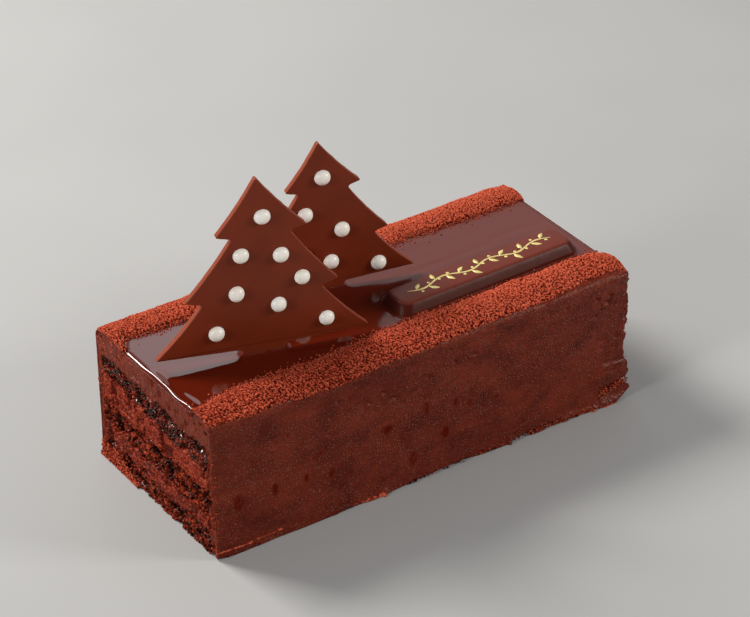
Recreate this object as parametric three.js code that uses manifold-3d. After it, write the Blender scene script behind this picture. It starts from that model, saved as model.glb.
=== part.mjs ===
// A small bûche: a rectangular chocolate yule log cake, cut across at both ends.
// Ganache covers the top and the two long sides, and layers of sponge and cream run through it.
// On top are a poured glaze between two cocoa-dusted ridges, two flat chocolate fir trees
// that stand on their trunks, and a moulded chocolate bar.
// Millimetres, +Z up. X is the length, -Y the long side at the front, and the origin is
// the middle of the face that the cake rests on.

import * as THREE from 'three';
import { mergeVertices } from 'three/addons/utils/BufferGeometryUtils.js';
import Module from 'manifold-3d';

const wasm = await Module();
wasm.setup();

// Driving dimensions.
const LENGTH = 160;
const TOP_WIDTH = 71;
const BASE_WIDTH = 72.5;
const GAP = 0.3;                  // between pieces that touch

// Ganache coat.
const SHOULDER_Z = 47;            // where the sides start to round over
const COAT_STEP = 4;              // spacing of the sections along the length
const FLOOR_Z = 48.2;             // trough that the glaze lies in
const FRONT_WALL = 3.6;           // thickness of the coat on the front side
const BACK_WALL = 2.6;            // and on the back side
const FRONT_RIDGE = { edge: -19.2, crestY: -26.5, crestZ: 51.2, edgeZ: 49.9 };
const BACK_RIDGE = { edge: 22.4, crestY: 29.5, crestZ: 50.8, edgeZ: 49.7 };
const RIDGE_WAVE = 0.8;           // how far the inner edge of a ridge wanders
const RIDGE_END = 1.4;            // how far a ridge drops at the right end
const SPREAD_RELIEF = 0.35;       // unevenness left by the palette knife
const RAGGED_EDGE = 1.5;          // how far the lower edge lifts off the board
const FOLD = { depth: 0.8, pitch: 7, at: 12, below: 24 };   // torn folds at the right front

// Layers, from the top down: the middle, tilt and crown of each border's height.
const BORDERS = [
  { middle: 40.5, tilt: 0.4, crown: 0.1 },
  { middle: 31.9, tilt: 1.9, crown: 0.6 },
  { middle: 23.4, tilt: 0.5, crown: 2.1 },
  { middle: 13.6, tilt: 0.9, crown: 1.4 },
  { middle: 8.4, tilt: 0.1, crown: 1.0 },
];
const SPONGE_RELIEF = 1.7;        // depth of the crumb on a cut face
const CREAM_RELIEF = 0.6;
const BORDER_WAVE = 0.35;

// Glaze.
const GLAZE_TOP = 49.5;
const GLAZE_FALL = 0.5;           // how much lower the glaze lies at the right end
const GLAZE_LIP = 0.8;            // bead of glaze along the left cut edge

// Fir trees: half-outline of the front one above the glaze, as [half-width, height].
const PLATE = 2.1;
const TRUNK_HALF = 6.9;
const TREE_OUTLINE = {
  underside: 2.9,
  tips: [[35, 4.2], [25, 23.2], [14.7, 44.8]],
  notches: [[19.2, 21.6], [9.3, 43.3]],
  apex: [-1.4, 63.7],
};
const TIP_ROUND = 0.8;
const NOTCH_ROUND = 1.5;
const BOUGH_SAG = 0.5;            // how far the slanting edges curve inwards
const TREES = [
  {
    name: 'tree_front', scale: 1, at: [-44.15, -8.78], yaw: -14.7, lean: -0.89,
    pearls: [[0.4, 49.9], [-6.7, 37.3], [6.2, 35.3], [13, 26], [-8.4, 23.9], [5.2, 17.5],
      [20.9, 9.4], [-15.2, 10.7]],
  },
  {
    name: 'tree_rear', scale: 0.866, at: [-7.2, 11.52], yaw: -14.67, lean: 0.48,
    pearls: [[-0.2, 42.4], [-6.4, 29.8], [5.8, 22.1], [1.8, 10.8], [17.9, 7], [-8.6, 16.5],
      [-18.6, 6.6]],
  },
];
const TREE_BASE_Z = 49;           // height that the outline's zero stands at
const PEARL = { radius: 2.65, height: 2.2, sunk: 0.5, sides: 12 };

// Chocolate bar.
const BAR = { length: 72, width: 15, height: 3.6, corner: 4, bevel: 1.9, crown: 0.5 };
const BAR_PLACE = { x: 38.3, y: -10.3, yaw: 1.2 };

const COLOURS = {
  coat: 0x4f231b, sponge: 0x3d1812, cream: 0x6e2f22, glaze: 0x4a1a12,
  tree: 0x54200f, bar: 0x452019,
};

const degrees = THREE.MathUtils.degToRad;
const lerp = THREE.MathUtils.lerp;
const smooth = THREE.MathUtils.smoothstep;

// A number from -1 to 1 that depends only on three whole numbers.
function scatter(i, j, seed) {
  const wave = Math.sin(i * 127.1 + j * 311.7 + seed * 74.7) * 43758.5453;
  return 2 * (wave - Math.floor(wave)) - 1;
}

// Smooth unevenness from -1 to 1 over two lengths, with lumps of about one cell.
function unevenness(a, b, cell, seed) {
  const i = Math.floor(a / cell);
  const j = Math.floor(b / cell);
  const s = smooth(a / cell - i, 0, 1);
  const t = smooth(b / cell - j, 0, 1);
  const near = lerp(scatter(i, j, seed), scatter(i + 1, j, seed), s);
  const far = lerp(scatter(i, j + 1, seed), scatter(i + 1, j + 1, seed), s);
  return lerp(near, far, t);
}

// Where the inner edge of a ridge wanders to along the length.
function ridgeWander(x, seed) {
  return RIDGE_WAVE * unevenness(x, 0, 11, seed);
}

// Half the width of the cake at a height.
function halfWidth(z) {
  return lerp(BASE_WIDTH, TOP_WIDTH, Math.min(z / SHOULDER_Z, 1)) / 2;
}

// The geometry with shared corners and each vertex moved by a function.
function shaped(geometry, move = () => {}) {
  geometry.deleteAttribute('normal');
  geometry.deleteAttribute('uv');
  const merged = mergeVertices(geometry, 1e-4);
  const place = merged.getAttribute('position');
  const point = new THREE.Vector3();
  for (let i = 0; i < place.count; i += 1) {
    point.fromBufferAttribute(place, i);
    move(point);
    place.setXYZ(i, point.x, point.y, point.z);
  }
  return merged;
}

function toSolid(geometry) {
  return new wasm.Manifold(new wasm.Mesh({
    numProp: 3,
    vertProperties: new Float32Array(geometry.getAttribute('position').array),
    triVerts: new Uint32Array(geometry.index.array),
  }));
}

function toGeometry(solid) {
  const mesh = solid.getMesh();
  const geometry = new THREE.BufferGeometry();
  geometry.setAttribute('position', new THREE.BufferAttribute(mesh.vertProperties, 3));
  geometry.setIndex(new THREE.BufferAttribute(mesh.triVerts, 1));
  return geometry;
}

function piece(name, geometry, color, roughness) {
  geometry.computeVertexNormals();
  const material = new THREE.MeshStandardMaterial({ color, roughness, metalness: 0 });
  const mesh = new THREE.Mesh(geometry, material);
  mesh.name = name;
  return mesh;
}

// The round of a shoulder and the ridge behind it, from the side in to the trough.
// side is -1 at the front and 1 at the back.
function ridgePoints(ridge, side) {
  const half = halfWidth(SHOULDER_Z);
  const curve = new THREE.SplineCurve([
    new THREE.Vector2(side * half, SHOULDER_Z),
    new THREE.Vector2(side * (half - 0.4), SHOULDER_Z + 1.8),
    new THREE.Vector2(side * (half - 2.4), ridge.crestZ - 0.7),
    new THREE.Vector2(ridge.crestY, ridge.crestZ),
    new THREE.Vector2(ridge.edge + side * 1.3, ridge.edgeZ),
    new THREE.Vector2(ridge.edge, FLOOR_Z),
  ]);
  return curve.getPoints(12);
}

// Points up or down one face of a side wall, both ends included.
function wallPoints(fromZ, toZ, yAt, steps) {
  return Array.from({ length: steps + 1 }, (_, i) => {
    const z = lerp(fromZ, toZ, i / steps);
    return new THREE.Vector2(yAt(z), z);
  });
}

// Height of a border between layers across the width.
function borderHeight(border, y) {
  const t = y / (TOP_WIDTH / 2);
  const wave = BORDER_WAVE * unevenness(y, 0, 7, border.middle);
  return border.middle + border.tilt * t + border.crown * t * t + wave;
}

const INNER_FRONT = -(TOP_WIDTH / 2 - FRONT_WALL);
const INNER_BACK = TOP_WIDTH / 2 - BACK_WALL;

// The ganache coat: an upside-down U along the length, spread by hand.
function coatGeometry() {
  const ceiling = Array.from({ length: 9 }, (_, i) => {
    const y = lerp(INNER_BACK, INNER_FRONT, i / 8);
    return new THREE.Vector2(y, borderHeight(BORDERS[0], y));
  });
  const outline = [
    ...wallPoints(0, SHOULDER_Z, (z) => -halfWidth(z), 7).slice(0, -1),
    ...ridgePoints(FRONT_RIDGE, -1),
    ...ridgePoints(BACK_RIDGE, 1).reverse(),
    ...wallPoints(SHOULDER_Z, 0, halfWidth, 7).slice(1),
    new THREE.Vector2(INNER_BACK, 0),
    ...ceiling,
    new THREE.Vector2(INNER_FRONT, 0),
  ];
  const bar = new THREE.ExtrudeGeometry(new THREE.Shape(outline.reverse()), {
    depth: LENGTH, steps: LENGTH / COAT_STEP, bevelEnabled: false,
  });
  const upright = new THREE.Matrix4().makeBasis(
    new THREE.Vector3(0, 1, 0), new THREE.Vector3(0, 0, 1), new THREE.Vector3(1, 0, 0));
  bar.applyMatrix4(upright);
  bar.translate(-LENGTH / 2, 0, 0);
  return shaped(bar, spreadByHand);
}

// Moves a point of the smooth coat to where the palette knife left it.
function spreadByHand(point) {
  const { x, y, z } = point;
  const inside = y > INNER_FRONT - 0.1 && y < INNER_BACK + 0.1 && z < FLOOR_Z - 1;
  if (inside) {
    return;
  }
  const side = Math.sign(y);
  const onRidge = smooth(z, FLOOR_Z + 0.2, 50);
  const onSide = 1 - smooth(z, 40, 49);
  const nearEdge = (edge) => 1 - smooth(Math.abs(y - edge), 0, 7);
  point.y -= side * SPREAD_RELIEF * (1 + unevenness(x, z, 13, 3 + side)) * onSide;
  point.y += ridgeWander(x, 1) * nearEdge(FRONT_RIDGE.edge);
  point.y += ridgeWander(x, 2) * nearEdge(BACK_RIDGE.edge);
  point.z += onRidge * 0.4 * unevenness(x, y, 7, 11);
  point.z -= onRidge * RIDGE_END * smooth(x, LENGTH / 2 - 6, LENGTH / 2);
  const lift = Math.max(0, unevenness(x, side, 9, 21));
  point.z += RAGGED_EDGE * lift * (1 - smooth(z, 0, 5));
  if (side < 0) {
    const torn = smooth(x, LENGTH / 2 - 9, LENGTH / 2) * (1 - smooth(z, FOLD.at, FOLD.below));
    const hollow = 1 - Math.cos(((z - FOLD.at) / FOLD.pitch) * 2 * Math.PI);
    point.x -= torn * FOLD.depth * hollow;
    point.y += torn * FOLD.depth * hollow;
  }
}

// One layer of the inside: a long bar between two borders, with crumb on its cut ends.
function layerGeometry(upper, lower, relief, seed) {
  const length = LENGTH - 0.6;
  const rows = relief > 1 ? 5 : 3;
  const front = INNER_FRONT + GAP;
  const back = INNER_BACK - GAP;
  const bar = new THREE.BoxGeometry(length, 1, 1, 1, 30, rows);
  return shaped(bar, (point) => {
    const y = lerp(front, back, point.y + 0.5);
    const top = borderHeight(upper, y) - (upper === BORDERS[0] ? GAP : GAP / 2);
    const bottom = lower ? borderHeight(lower, y) + GAP / 2 : 0;
    const z = lerp(bottom, top, point.z + 0.5);
    const end = Math.sign(point.x);
    point.x -= end * relief * (0.5 + 0.5 * unevenness(y, z, 2.6, seed + end));
    point.y = y;
    point.z = z;
  });
}

// How far the top of the glaze lies above GLAZE_TOP along the length.
function glazeLift(x) {
  const lip = GLAZE_LIP * (1 - smooth(x, -LENGTH / 2, -LENGTH / 2 + COAT_STEP * 1.5));
  return lip - GLAZE_FALL * smooth(x, -20, LENGTH / 2);
}

// A frame at the foot of a tree whose XY plane is the front of its plate.
function plateFrame(tree) {
  const frame = new THREE.Group();
  frame.position.set(tree.at[0], tree.at[1], TREE_BASE_Z);
  frame.rotateZ(degrees(tree.yaw));
  frame.rotateX(Math.PI / 2);
  frame.rotateZ(degrees(tree.lean));
  return frame;
}

// The slot in the glaze round a trunk, in plan.
function trunkSlot(tree) {
  const yaw = degrees(tree.yaw);
  const half = TRUNK_HALF * tree.scale + GAP + 0.1;
  const corners = [[-half, -GAP], [half, -GAP], [half, PLATE + GAP], [-half, PLATE + GAP]];
  return new THREE.Path(corners.map(([along, behind]) => new THREE.Vector2(
    tree.at[0] + along * Math.cos(yaw) - behind * Math.sin(yaw),
    tree.at[1] + along * Math.sin(yaw) + behind * Math.cos(yaw))));
}

// The glaze: a thin sheet in the trough, open round the two trunks.
function glazeGeometry() {
  const count = LENGTH / COAT_STEP;
  const along = (edge, seed, inwards) => Array.from({ length: count + 1 }, (_, i) => {
    const x = -LENGTH / 2 + i * COAT_STEP;
    return new THREE.Vector2(x, edge + inwards * (GAP + 0.1) + ridgeWander(x, seed));
  });
  const near = along(FRONT_RIDGE.edge, 1, 1);
  const far = along(BACK_RIDGE.edge, 2, -1);
  const shape = new THREE.Shape([...near, ...far.reverse()]);
  shape.holes = TREES.map(trunkSlot);
  const bottom = FLOOR_Z + GAP;
  const sheet = new THREE.ExtrudeGeometry(shape, {
    depth: GLAZE_TOP - bottom, bevelEnabled: false,
  });
  sheet.translate(0, 0, bottom);
  return shaped(sheet, (point) => {
    if (point.z > bottom + 0.1) {
      point.z += glazeLift(point.x);
    }
  });
}

// Corners of the fir's outline, anticlockwise from the foot of the trunk on the left.
function treeCorners(scale) {
  const { underside, tips, notches, apex } = TREE_OUTLINE;
  const foot = (FLOOR_Z + GAP - TREE_BASE_Z) / scale;
  const right = [
    { at: [TRUNK_HALF, foot], round: 0 },
    { at: [TRUNK_HALF, underside], round: NOTCH_ROUND },
    { at: tips[0], round: TIP_ROUND },
    { at: notches[0], round: NOTCH_ROUND, sag: true },
    { at: tips[1], round: TIP_ROUND },
    { at: notches[1], round: NOTCH_ROUND, sag: true },
    { at: tips[2], round: TIP_ROUND },
  ];
  const top = { at: apex, round: TIP_ROUND, sag: true };
  const left = right.map((corner, i) => ({
    at: [-corner.at[0], corner.at[1]],
    round: corner.round,
    sag: i + 1 === right.length || Boolean(right[i + 1].sag),
  })).reverse();
  return [...right, top, ...left].map(({ at, round, sag }) => ({
    point: new THREE.Vector2(...at).multiplyScalar(scale),
    round,
    sag,
  }));
}

// The fir's outline: rounded tips and notches, joined by boughs that curve inwards.
function treeShape(scale) {
  const corners = treeCorners(scale);
  const shape = new THREE.Shape();
  const count = corners.length;
  const towards = (from, to, length) => to.clone().sub(from).setLength(length).add(from);
  let last = corners[count - 1].point;
  shape.moveTo(last.x, last.y);
  corners.forEach(({ point, round, sag }, i) => {
    const next = corners[(i + 1) % count].point;
    const before = corners[(i + count - 1) % count].point;
    const start = towards(point, before, round);
    if (sag) {
      const middle = last.clone().add(start).multiplyScalar(0.5);
      const inwards = start.clone().sub(last).normalize();
      middle.add(new THREE.Vector2(-inwards.y, inwards.x).multiplyScalar(2 * BOUGH_SAG));
      shape.quadraticCurveTo(middle.x, middle.y, start.x, start.y);
    } else {
      shape.lineTo(start.x, start.y);
    }
    last = start;
    if (round > 0) {
      const end = towards(point, next, round);
      shape.quadraticCurveTo(point.x, point.y, end.x, end.y);
      last = end;
    }
  });
  return shape;
}

// A sugar pearl pressed against the plate: a low dome with its foot inside the plate.
function pearlGeometry() {
  const { radius, height, sunk, sides } = PEARL;
  const dome = Array.from({ length: 5 }, (_, i) => {
    const turn = (i / 4) * Math.PI / 2;
    return new THREE.Vector2(radius * Math.cos(turn), height * Math.sin(turn));
  });
  dome[4].x = 0;
  const profile = [new THREE.Vector2(0, -sunk), new THREE.Vector2(radius, -sunk), ...dome];
  const pearl = new THREE.LatheGeometry(profile, sides);
  pearl.rotateX(Math.PI / 2);
  return shaped(pearl);
}

// A fir tree cut from a thin sheet, with its pearls, in a frame whose XY is the front face.
function treePiece(tree) {
  const plate = new THREE.ExtrudeGeometry(treeShape(tree.scale), {
    depth: PLATE, bevelEnabled: false, curveSegments: 3,
  });
  plate.translate(0, 0, -PLATE);
  const pearl = toSolid(pearlGeometry());
  const solid = tree.pearls.reduce(
    (sum, [x, y]) => sum.add(pearl.translate([x, y, 0])), toSolid(shaped(plate)));
  const frame = plateFrame(tree);
  frame.add(piece(tree.name, toGeometry(solid), COLOURS.tree, 0.4));
  return frame;
}

// The moulded bar: a box with round corners, a bevelled edge and a slightly domed top.
function barPiece() {
  const { length, width, height, corner, bevel, crown } = BAR;
  const box = new THREE.BoxGeometry(length, width, height, 18, 6, 3);
  const geometry = shaped(box, (point) => {
    const level = point.z / height + 0.5;
    const inset = bevel * smooth(level, 0.1, 1.1);
    const halfX = length / 2 - corner;
    const halfY = width / 2 - corner;
    const core = new THREE.Vector2(
      THREE.MathUtils.clamp(point.x, -halfX, halfX), THREE.MathUtils.clamp(point.y, -halfY, halfY));
    const out = new THREE.Vector2(point.x, point.y).sub(core);
    out.setLength(Math.min(out.length(), corner) * (1 - inset / corner));
    const dome = 1 - (point.y / (width / 2)) ** 2;
    point.x = core.x + out.x;
    point.y = core.y + out.y;
    point.z += height / 2 + crown * dome * (level > 0.99);
  });
  const bar = piece('chocolate_bar', geometry, COLOURS.bar, 0.35);
  bar.position.set(BAR_PLACE.x, BAR_PLACE.y, GLAZE_TOP + GAP);
  bar.rotation.z = degrees(BAR_PLACE.yaw);
  return bar;
}

const LAYERS = [
  { name: 'sponge_top', color: COLOURS.sponge, relief: SPONGE_RELIEF },
  { name: 'cream_upper', color: COLOURS.cream, relief: CREAM_RELIEF },
  { name: 'sponge_middle', color: COLOURS.sponge, relief: SPONGE_RELIEF },
  { name: 'cream_lower', color: COLOURS.cream, relief: CREAM_RELIEF },
  { name: 'sponge_bottom', color: COLOURS.sponge, relief: SPONGE_RELIEF },
];

const cake = new THREE.Group();
cake.add(piece('ganache_coat', coatGeometry(), COLOURS.coat, 0.55));
LAYERS.forEach(({ name, color, relief }, i) => {
  const geometry = layerGeometry(BORDERS[i], BORDERS[i + 1], relief, 30 + 4 * i);
  cake.add(piece(name, geometry, color, 0.8));
});
cake.add(piece('glaze', glazeGeometry(), COLOURS.glaze, 0.08));
TREES.forEach((tree) => cake.add(treePiece(tree)));
cake.add(barPiece());

export default cake;
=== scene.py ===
"""A chocolate yule log cake: ganache, crumb, glaze, cocoa, chocolate firs and a moulded bar.

Every surface is worked out with numpy in millimetres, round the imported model, and put into
the mesh in metres. X is the cake's length, -Y its front long side and +Z is up.
"""
import math
from functools import partial

import bpy
import numpy as np
from mathutils import Matrix, Vector


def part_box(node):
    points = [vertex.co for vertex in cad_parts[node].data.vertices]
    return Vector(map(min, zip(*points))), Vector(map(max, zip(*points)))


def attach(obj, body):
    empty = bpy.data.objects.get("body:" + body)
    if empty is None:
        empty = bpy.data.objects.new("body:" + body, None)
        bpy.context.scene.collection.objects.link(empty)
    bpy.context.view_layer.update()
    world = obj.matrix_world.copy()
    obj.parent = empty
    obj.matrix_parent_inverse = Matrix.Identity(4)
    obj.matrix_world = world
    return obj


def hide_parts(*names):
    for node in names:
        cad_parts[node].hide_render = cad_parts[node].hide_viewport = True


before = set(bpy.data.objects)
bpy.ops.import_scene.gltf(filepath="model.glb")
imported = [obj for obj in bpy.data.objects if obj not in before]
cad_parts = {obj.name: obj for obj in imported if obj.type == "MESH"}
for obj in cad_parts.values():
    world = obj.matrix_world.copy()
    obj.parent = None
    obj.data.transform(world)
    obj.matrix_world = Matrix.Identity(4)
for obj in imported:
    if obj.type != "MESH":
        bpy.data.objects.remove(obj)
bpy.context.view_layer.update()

bl_info = {
    "name": "Yule log cake",
    "version": (1, 0, 0),
    "blender": (4, 5, 0),
    "location": "3D View > Sidebar > Cake",
    "description": "Ganache, crumb, glaze, cocoa and chocolate decorations of a yule log cake",
    "category": "Add Mesh",
}

MM = 0.001
BODY = "root"
COAT_LOW, COAT_HIGH = (np.array(corner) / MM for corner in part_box("ganache_coat"))
LENGTH = COAT_HIGH[0] - COAT_LOW[0]
HALF_LENGTH = LENGTH / 2

# The block. Heights and widths in millimetres.
TOP_WIDTH = 71.0
BASE_WIDTH = 72.5
SHOULDER_Z = 46.6
SHOULDER_ROUND = 3.0
TROUGH_Z = 48.2
FRONT_WALL = 3.6
BACK_WALL = 2.6
CEILING_Z = 40.0
# The sides' relief fades out over this height below the shoulder.
FLUSH = 2.5
# The coat's foot and its right end have a finer grid, over these lengths.
FINE_FOOT, FINE_END, FINE_STEP = 8, 15, 0.3
# Rows of the coat's grid over each part of its outline.
FRONT_ROWS, RIDGE_ROWS, TROUGH_ROWS, BACK_ROWS = 84, (24, 22), 58, 60
RIDGES = {
    "front": {"side": -1, "edge": -19.2, "crest_y": -26.5, "crest_z": 51.0, "seed": 1,
              "swings": [(-1.7, 20, -20), (-2.6, -60, -80)]},
    "back": {"side": 1, "edge": 22.4, "crest_y": 29.5, "crest_z": 50.5, "seed": 2,
             "swings": [(-5.5, -75, -80)]},
}
# The line over a ridge is about this long; the cocoa's places across it are measured on it.
# The quarter round of the shoulder takes up the first share of it.
RIDGE_ACROSS = 19
ROUND_SHARE = 0.255
# Borders between the layers, from the top down: middle height, tilt, crown and raggedness.
BORDERS = [(40.6, 0.6, -0.2, 2.0), (31.9, 1.9, 0.6, 1.1), (23.4, 0.5, 2.1, 1.2),
           (13.6, 0.9, 1.4, 1.8), (8.4, 0.1, 1.0, 1.6)]
# Each layer, from the top down, with what it is made of and how wet it is.
LAYERS = [("sponge_top", "sponge", 1.0), ("cream_upper", "cream", 0.15),
          ("sponge_middle", "sponge", 0.35), ("cream_lower", "cream", 0.6),
          ("sponge_bottom", "sponge", 0.6)]
# Crumb is smeared over the cut ganache from the second height down, and fades to the first.
SMEARED = (41.5, 38)
# A cut face of a layer is about this wide.
FACE_WIDTH = 64
GLAZE_Z = 49.5
GLAZE_INSET = 0.45

# Deep hollows torn in the left cut face, as (y, z, half-width, half-height).
HOLLOWS = [(30.6, 17.5, 1.9, 6.4), (13.0, 20.3, 7.0, 1.3), (-0.6, 20.9, 4.2, 1.6),
           (-5.9, 12.7, 1.9, 1.9), (-23.5, 12.0, 2.0, 2.2), (8.6, 38.3, 1.5, 2.0),
           (28.5, 38.8, 3.0, 1.0), (-26.0, 37.6, 1.7, 1.8), (10.0, 3.5, 5.0, 1.5),
           (-12.0, 5.2, 5.0, 1.6), (-16.0, 36.0, 1.6, 1.2)]
# Wet ledges in it that catch the light, as (y, z of the foot, half-width, height).
LEDGES = [(11.2, 42.0, 2.1, 0.8), (2.3, 42.2, 1.5, 0.7), (-10.9, 37.3, 0.8, 1.0),
          (0.5, 35.7, 1.2, 0.8), (-16.6, 35.7, 1.5, 0.8), (-7.0, 31.9, 0.7, 0.8),
          (-23.1, 31.4, 0.7, 1.0), (11.6, 33.2, 1.3, 0.8), (3.0, 23.2, 1.0, 0.8),
          (-29.0, 37.4, 0.7, 0.9), (17.6, 36.2, 0.8, 0.8), (-18.0, 4.0, 0.8, 0.7),
          (6.0, 3.2, 0.7, 0.7), (28.4, 7.6, 0.9, 0.7)]
# Pits in the spread ganache of the front, as (x, z, radius).
PITS = [(-58.5, 37.0, 0.9), (-53.0, 36.0, 0.7), (-33.5, 41.0, 0.9), (-22.0, 36.4, 0.8),
        (-16.5, 38.2, 0.9), (-13.5, 35.0, 1.2), (-11.8, 34.6, 0.9), (0.2, 38.0, 1.0),
        (11.0, 39.5, 0.8), (17.5, 40.0, 0.9), (19.0, 39.6, 0.7), (45.0, 43.0, 0.6),
        (55.0, 43.6, 0.7), (68.0, 41.8, 1.0), (72.0, 39.6, 1.1), (73.2, 41.5, 0.8),
        (-27.0, 11.0, 0.5), (0.8, 10.0, 0.5), (43.5, 7.0, 0.7), (54.0, 17.0, 0.5)]
# Damp spots in it, where syrup has come through, as (x, z, half-width, half-height).
DAMP = [(-71.3, 18.5, 1.9, 3.0), (-58.0, 18.0, 1.2, 2.6), (-46.5, 18.0, 1.0, 1.4),
        (-37.2, 16.6, 1.0, 2.2), (-0.6, 26.4, 1.1, 2.3), (-6.0, 9.2, 1.4, 2.5),
        (6.5, 14.7, 1.7, 2.2), (11.0, 24.0, 0.9, 1.8), (16.3, 22.0, 1.1, 1.3),
        (-42.0, 24.5, 2.0, 1.4), (26.5, 20.5, 1.5, 0.8), (-15.5, 24.0, 2.4, 1.8)]
# The foot of the front, as (x, lift off the floor, spread outwards).
FOOT_X, FOOT_LIFT, FOOT_SPREAD = zip(*[
    (-80, 0.6, 0.0), (-74, 0.1, 0.5), (-36, 0.1, 0.5), (-33, 0.8, 0.4), (-27, 0.8, 0.3),
    (-24, 0.1, 0.6), (-19, 0.1, 0.8), (-18, 0.0, 1.6), (-17, 0.5, 0.8), (-14, 0.3, 0.2),
    (-4, 0.6, 0.1), (8, 1.0, 0.1), (14, 0.8, 0.1), (20, 0.1, 0.2), (28, 0.1, 0.3),
    (31.4, 0.1, 0.4), (32.0, 0.0, 1.5), (32.8, 1.1, 0.3), (36, 2.0, 0.2), (41, 1.8, 0.2),
    (45, 1.3, 0.2), (48, 2.3, 0.2), (51, 2.0, 0.2), (54, 0.4, 0.6), (55.5, 0.2, 0.8),
    (56.5, 1.3, 0.4), (60, 0.8, 0.4), (63, 0.3, 0.6), (65, 0.2, 1.0), (66.5, 0.0, 1.6),
    (68, 0.7, 1.0), (69, 0.3, 1.2), (71, 0.0, 1.5), (74, 0.1, 1.5), (77, 0.9, 1.0),
    (80, 2.2, 0.4)])
# The torn right end of the front, as (z, reach past or short of the end).
TORN = [(0, 0.2), (0.6, 1.0), (1.4, 1.5), (2.6, 1.7), (3.8, 1.5), (4.6, 1.0), (5.2, 0.0),
        (6.0, -0.7), (7.5, -0.4), (9, 0.4), (11, 0.7), (13, 0.6), (15, 0.1), (16.5, -0.4),
        (19, -0.5), (22.5, -0.5), (23.5, 0.1), (24.5, 0.6), (25.5, -0.1), (26.5, -0.3),
        (29, 0.3), (31, 0.6), (38, 0.8), (42, 0.7), (47, 0.3)]
# Where the cocoa begins on the front shoulder, as (x, degrees round it from the front).
COCOA_START = [(-80, 45), (-70, 38), (-62, 30), (-55, 34), (-48, 16), (-41, 15), (-33, 10),
               (-26, 14), (-18, 22), (-11, 28), (4, 26), (12, 32), (20, 40), (28, 40), (36, 40),
               (52, 48), (58, 60), (62, 68), (68, 72), (74, 72), (80, 64)]

# The firs: half-outline of the larger one, and where each one stands.
TRUNK_HALF = 6.9
FIR_UNDERSIDE = 2.9
FIR_TIPS = [(35.0, 4.2), (25.0, 23.2), (14.7, 44.8)]
FIR_NOTCHES = [(19.2, 21.6), (9.3, 43.3)]
FIR_APEX = (-1.4, 63.7)
FIR_FOOT_Z = 49.0
TIP_ROUND, NOTCH_ROUND = 0.8, 1.5
BOUGH_SAG = 0.5
FIRS = {
    "front": {
        "node": "tree_front", "scale": 1.0, "at": (-44.15, -8.78), "yaw": -14.7, "lean": -0.89,
        "pearls": [(0.4, 49.9), (-6.7, 37.3), (6.2, 35.3), (13.0, 26.0), (-8.4, 23.9),
                   (5.2, 17.5), (20.9, 9.4), (-15.2, 10.7)],
    },
    "rear": {
        "node": "tree_rear", "scale": 0.866, "at": (-7.2, 11.52), "yaw": -14.67, "lean": 0.48,
        "pearls": [(-0.2, 42.4), (-6.4, 29.8), (5.8, 22.1), (1.8, 10.8), (17.9, 7.0),
                   (-8.6, 16.5), (-18.6, 6.6)],
    },
}

# The moulded bar, and the garland on it: half its length, its waves and its leaves.
BAR_SIZE = (72.0, 15.0)
BAR_AT = (38.3, -10.3)
BAR_YAW = 1.2
BAR_FOOT_Z = 49.0
BAR_CORNER = 4.0
STEM_HALF, STEM_RISE, STEM_RUN, STEM_MIDDLE = 29.0, 1.3, 19.0, 0.2
LEAF_LENGTH, LEAF_WIDTH, LEAF_SPACING = 4.0, 1.35, 4.3

# The camera: where it stands, which way it looks, and its lens.
CAMERA_AT = (-450.4, -689.2, 561.9)
CAMERA_AZIMUTH, CAMERA_ELEVATION, CAMERA_ROLL = -33.386, 32.102, -0.958
SENSOR = 36.0
IMAGE_WIDTH = 750
FOCAL_PIXELS = 3000.0
# Soft boxes, as (name, place, width, height, watts, colour). Places and sizes in metres.
SOFT_BOXES = [
    ("key_behind", (-0.36, 0.72, 0.81), 0.42, 0.36, 14.6, (1.0, 0.98, 0.95)),
    ("fill_right", (0.80, -0.74, 0.52), 0.35, 0.3, 7.4, (1.0, 0.98, 0.96)),
    ("fill_left", (-1.0, -0.10, 0.46), 0.25, 0.25, 4.8, (0.98, 0.98, 1.0)),
    ("sheen_panel", (0.6, 0.92, 0.72), 1.1, 0.6, 0.95, (0.97, 0.98, 1.0)),
    ("sheen_left", (0.36, 0.94, 0.73), 0.26, 0.5, 0.5, (0.94, 0.97, 1.0)),
]
LIGHTS_AIM = (0, 0, 0.03)
ROOM_TINT, ROOM_STRENGTH = (0.96, 0.98, 1.0, 1), 0.22
FLOOR_HALF = 6.0


def linear(code):
    """The linear RGB values of an sRGB hex colour."""
    parts = np.array([int(code[i:i + 2], 16) for i in (1, 3, 5)]) / 255
    low = parts / 12.92
    high = ((parts + 0.055) / 1.055) ** 2.4
    return tuple(float(v) for v in np.where(parts <= 0.04045, low, high))


# Tints of the gloss: chocolate and crumb warm the light that they throw back.
GANACHE_GLOSS = (*linear("#ffdfd0"), 1.0)
WET_GLOSS = (*linear("#ffece5"), 1.0)
DRY_GLOSS = (*linear("#bc6f59"), 1.0)
CHOCOLATE_GLOSS = (*linear("#ffefe7"), 1.0)


def length_setting(label, words, default_mm):
    """A length for the sidebar, in metres."""
    return bpy.props.FloatProperty(
        name=label, description=words, default=default_mm * MM, unit="LENGTH", precision=5)


def colour_setting(label, words, code):
    """A colour for the sidebar."""
    return bpy.props.FloatVectorProperty(
        name=label, description=words, default=linear(code), subtype="COLOR", min=0.0, max=1.0)


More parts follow.
